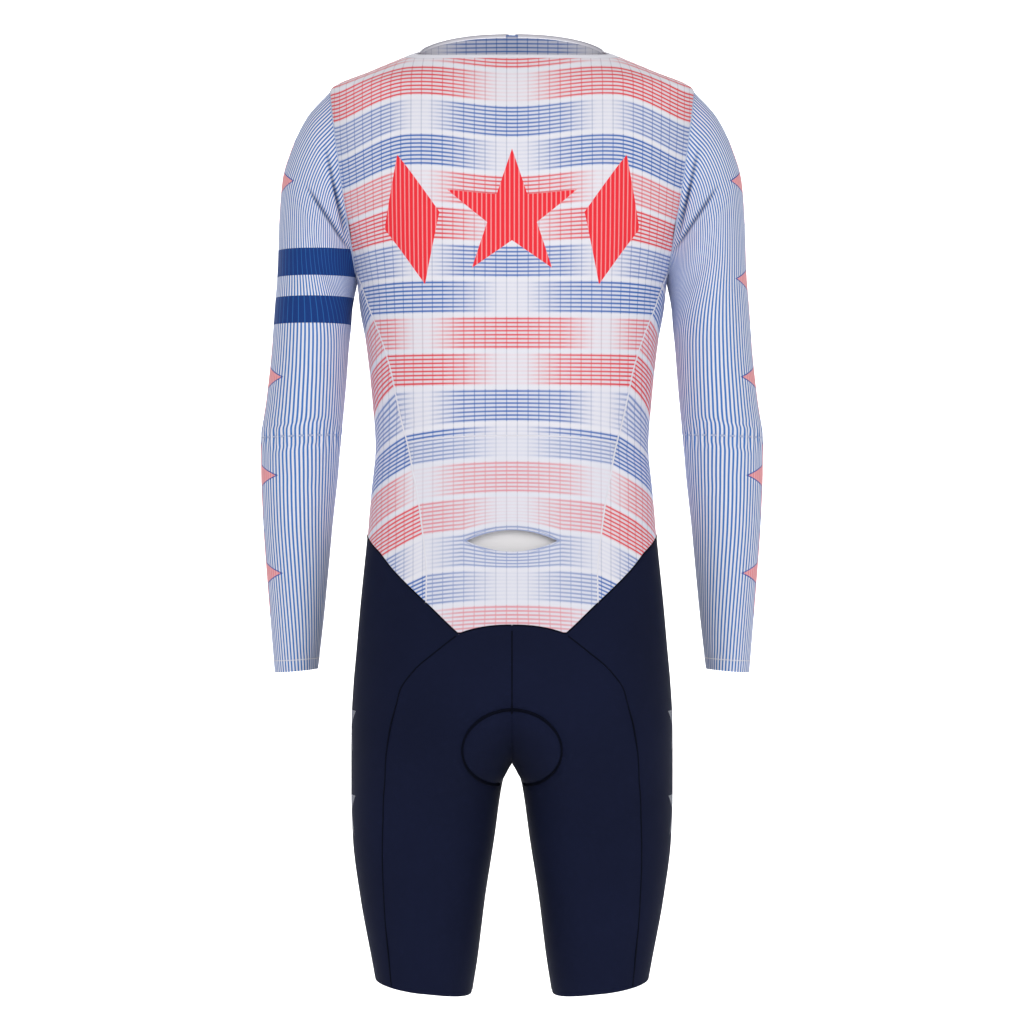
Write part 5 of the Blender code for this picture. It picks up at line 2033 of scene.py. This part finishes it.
# ---- Light and camera ------------------------------------------------------------------
@dataclass(frozen=True)
class Softbox:
    """A square lamp."""

    name: str
    place: tuple[float, float, float]  # metres
    aim: tuple[float, float, float]  # the point that it faces, in metres
    size: float  # metres along a side
    watts: float

    def build(self) -> None:
        """Adds the lamp."""
        lamp = bpy.data.lights.new(self.name, "AREA")
        lamp.shape, lamp.size, lamp.energy = "SQUARE", self.size, self.watts
        obj = bpy.data.objects.new(self.name, lamp)
        obj.location = self.place
        way = np.array(self.place, float) - np.array(self.aim, float)
        flat = math.hypot(way[0], way[1])
        obj.rotation_euler = (math.atan2(flat, way[2]), 0.0, math.atan2(way[0], -way[1]))
        bpy.context.scene.collection.objects.link(obj)


@dataclass
class Studio:
    """A white sweep, soft lights and a long lens behind the suit."""

    distance: float = 4.0  # metres from the camera to the middle of the suit
    view_height: float = -0.4388  # metres, the height at which the camera looks level
    frame_width: float = 1.065  # metres of the suit's plane across the picture
    floor: float = -1.35
    wall: float = 8.5  # metres from the suit to the upright part of the backdrop
    sweep: float = 3.0  # radius of the backdrop's curve, in metres
    reach: float = 14.0  # metres to either side and behind the camera
    top: float = 9.0  # metres above the floor
    daylight: float = 0.42
    lamps: tuple[Softbox, ...] = (
        Softbox("key_softbox", (-1.6, -3.6, 1.6), (0, 0, -0.3), 2.6, 60),
        Softbox("fill_softbox", (2.4, -3.2, 0.4), (0, 0, -0.5), 2.6, 40),
        Softbox("backdrop_light", (0, 4.2, 3.6), (0, 7.6, -0.8), 4.0, 560),
    )

    def build(self) -> None:
        """Builds the stage, the lights and the camera."""
        start, bend = self.wall - self.sweep, np.linspace(0.1, math.pi / 2, 12)
        profile = [(-self.reach, 0.0), (start, 0.0)]
        profile += [
            (start + self.sweep * math.sin(a), self.sweep * (1 - math.cos(a))) for a in bend
        ]
        profile += [(self.wall, self.top)]
        sides = (-self.reach, self.reach)
        verts = [(x, y, self.floor + z) for y, z in profile for x in sides]
        faces = [(2 * i, 2 * i + 1, 2 * i + 3, 2 * i + 2) for i in range(len(profile) - 1)]
        mesh = bpy.data.meshes.new("sweep")
        mesh.from_pydata(verts, [], faces)
        mesh.shade_smooth()
        sweep = bpy.data.objects.new("sweep", mesh)
        bpy.context.scene.collection.objects.link(sweep)
        # Matt white painted board: no gloss, so that the background stays even.
        paint = Solid("matt_white_paint", "#FBFBFC", "#F8F8FA", 0.9, gloss=0.1, grain_mm=4.0)
        sweep.data.materials.append(paint.build())
        for lamp in self.lamps:
            lamp.build()
        world = bpy.data.worlds.new("soft_daylight")
        world.use_nodes = True
        background = world.node_tree.nodes["Background"]
        background.inputs["Color"].default_value = (1.0, 1.0, 1.0, 1.0)
        background.inputs["Strength"].default_value = self.daylight
        bpy.context.scene.world = world
        lens = bpy.data.cameras.new("camera")
        lens.sensor_width = 36.0
        lens.lens = 36.0 * self.distance / self.frame_width
        lens.clip_end = 60.0
        camera = bpy.data.objects.new("camera", lens)
        camera.location = (0.0, -self.distance, self.view_height)
        camera.rotation_euler = (math.pi / 2, 0.0, 0.0)
        bpy.context.scene.collection.objects.link(camera)
        bpy.context.scene.camera = camera
        bpy.context.scene.view_settings.view_transform = "Standard"


def main() -> None:
    """Dresses the suit and lights it."""
    logging.basicConfig(level=logging.INFO, format="%(name)s %(message)s")
    Studio().build()
    Torso().build()
    Sleeves().build()
    Shorts().build()
    Sewing().build()
    Zip().build()


if __name__ == "__main__":
    main()
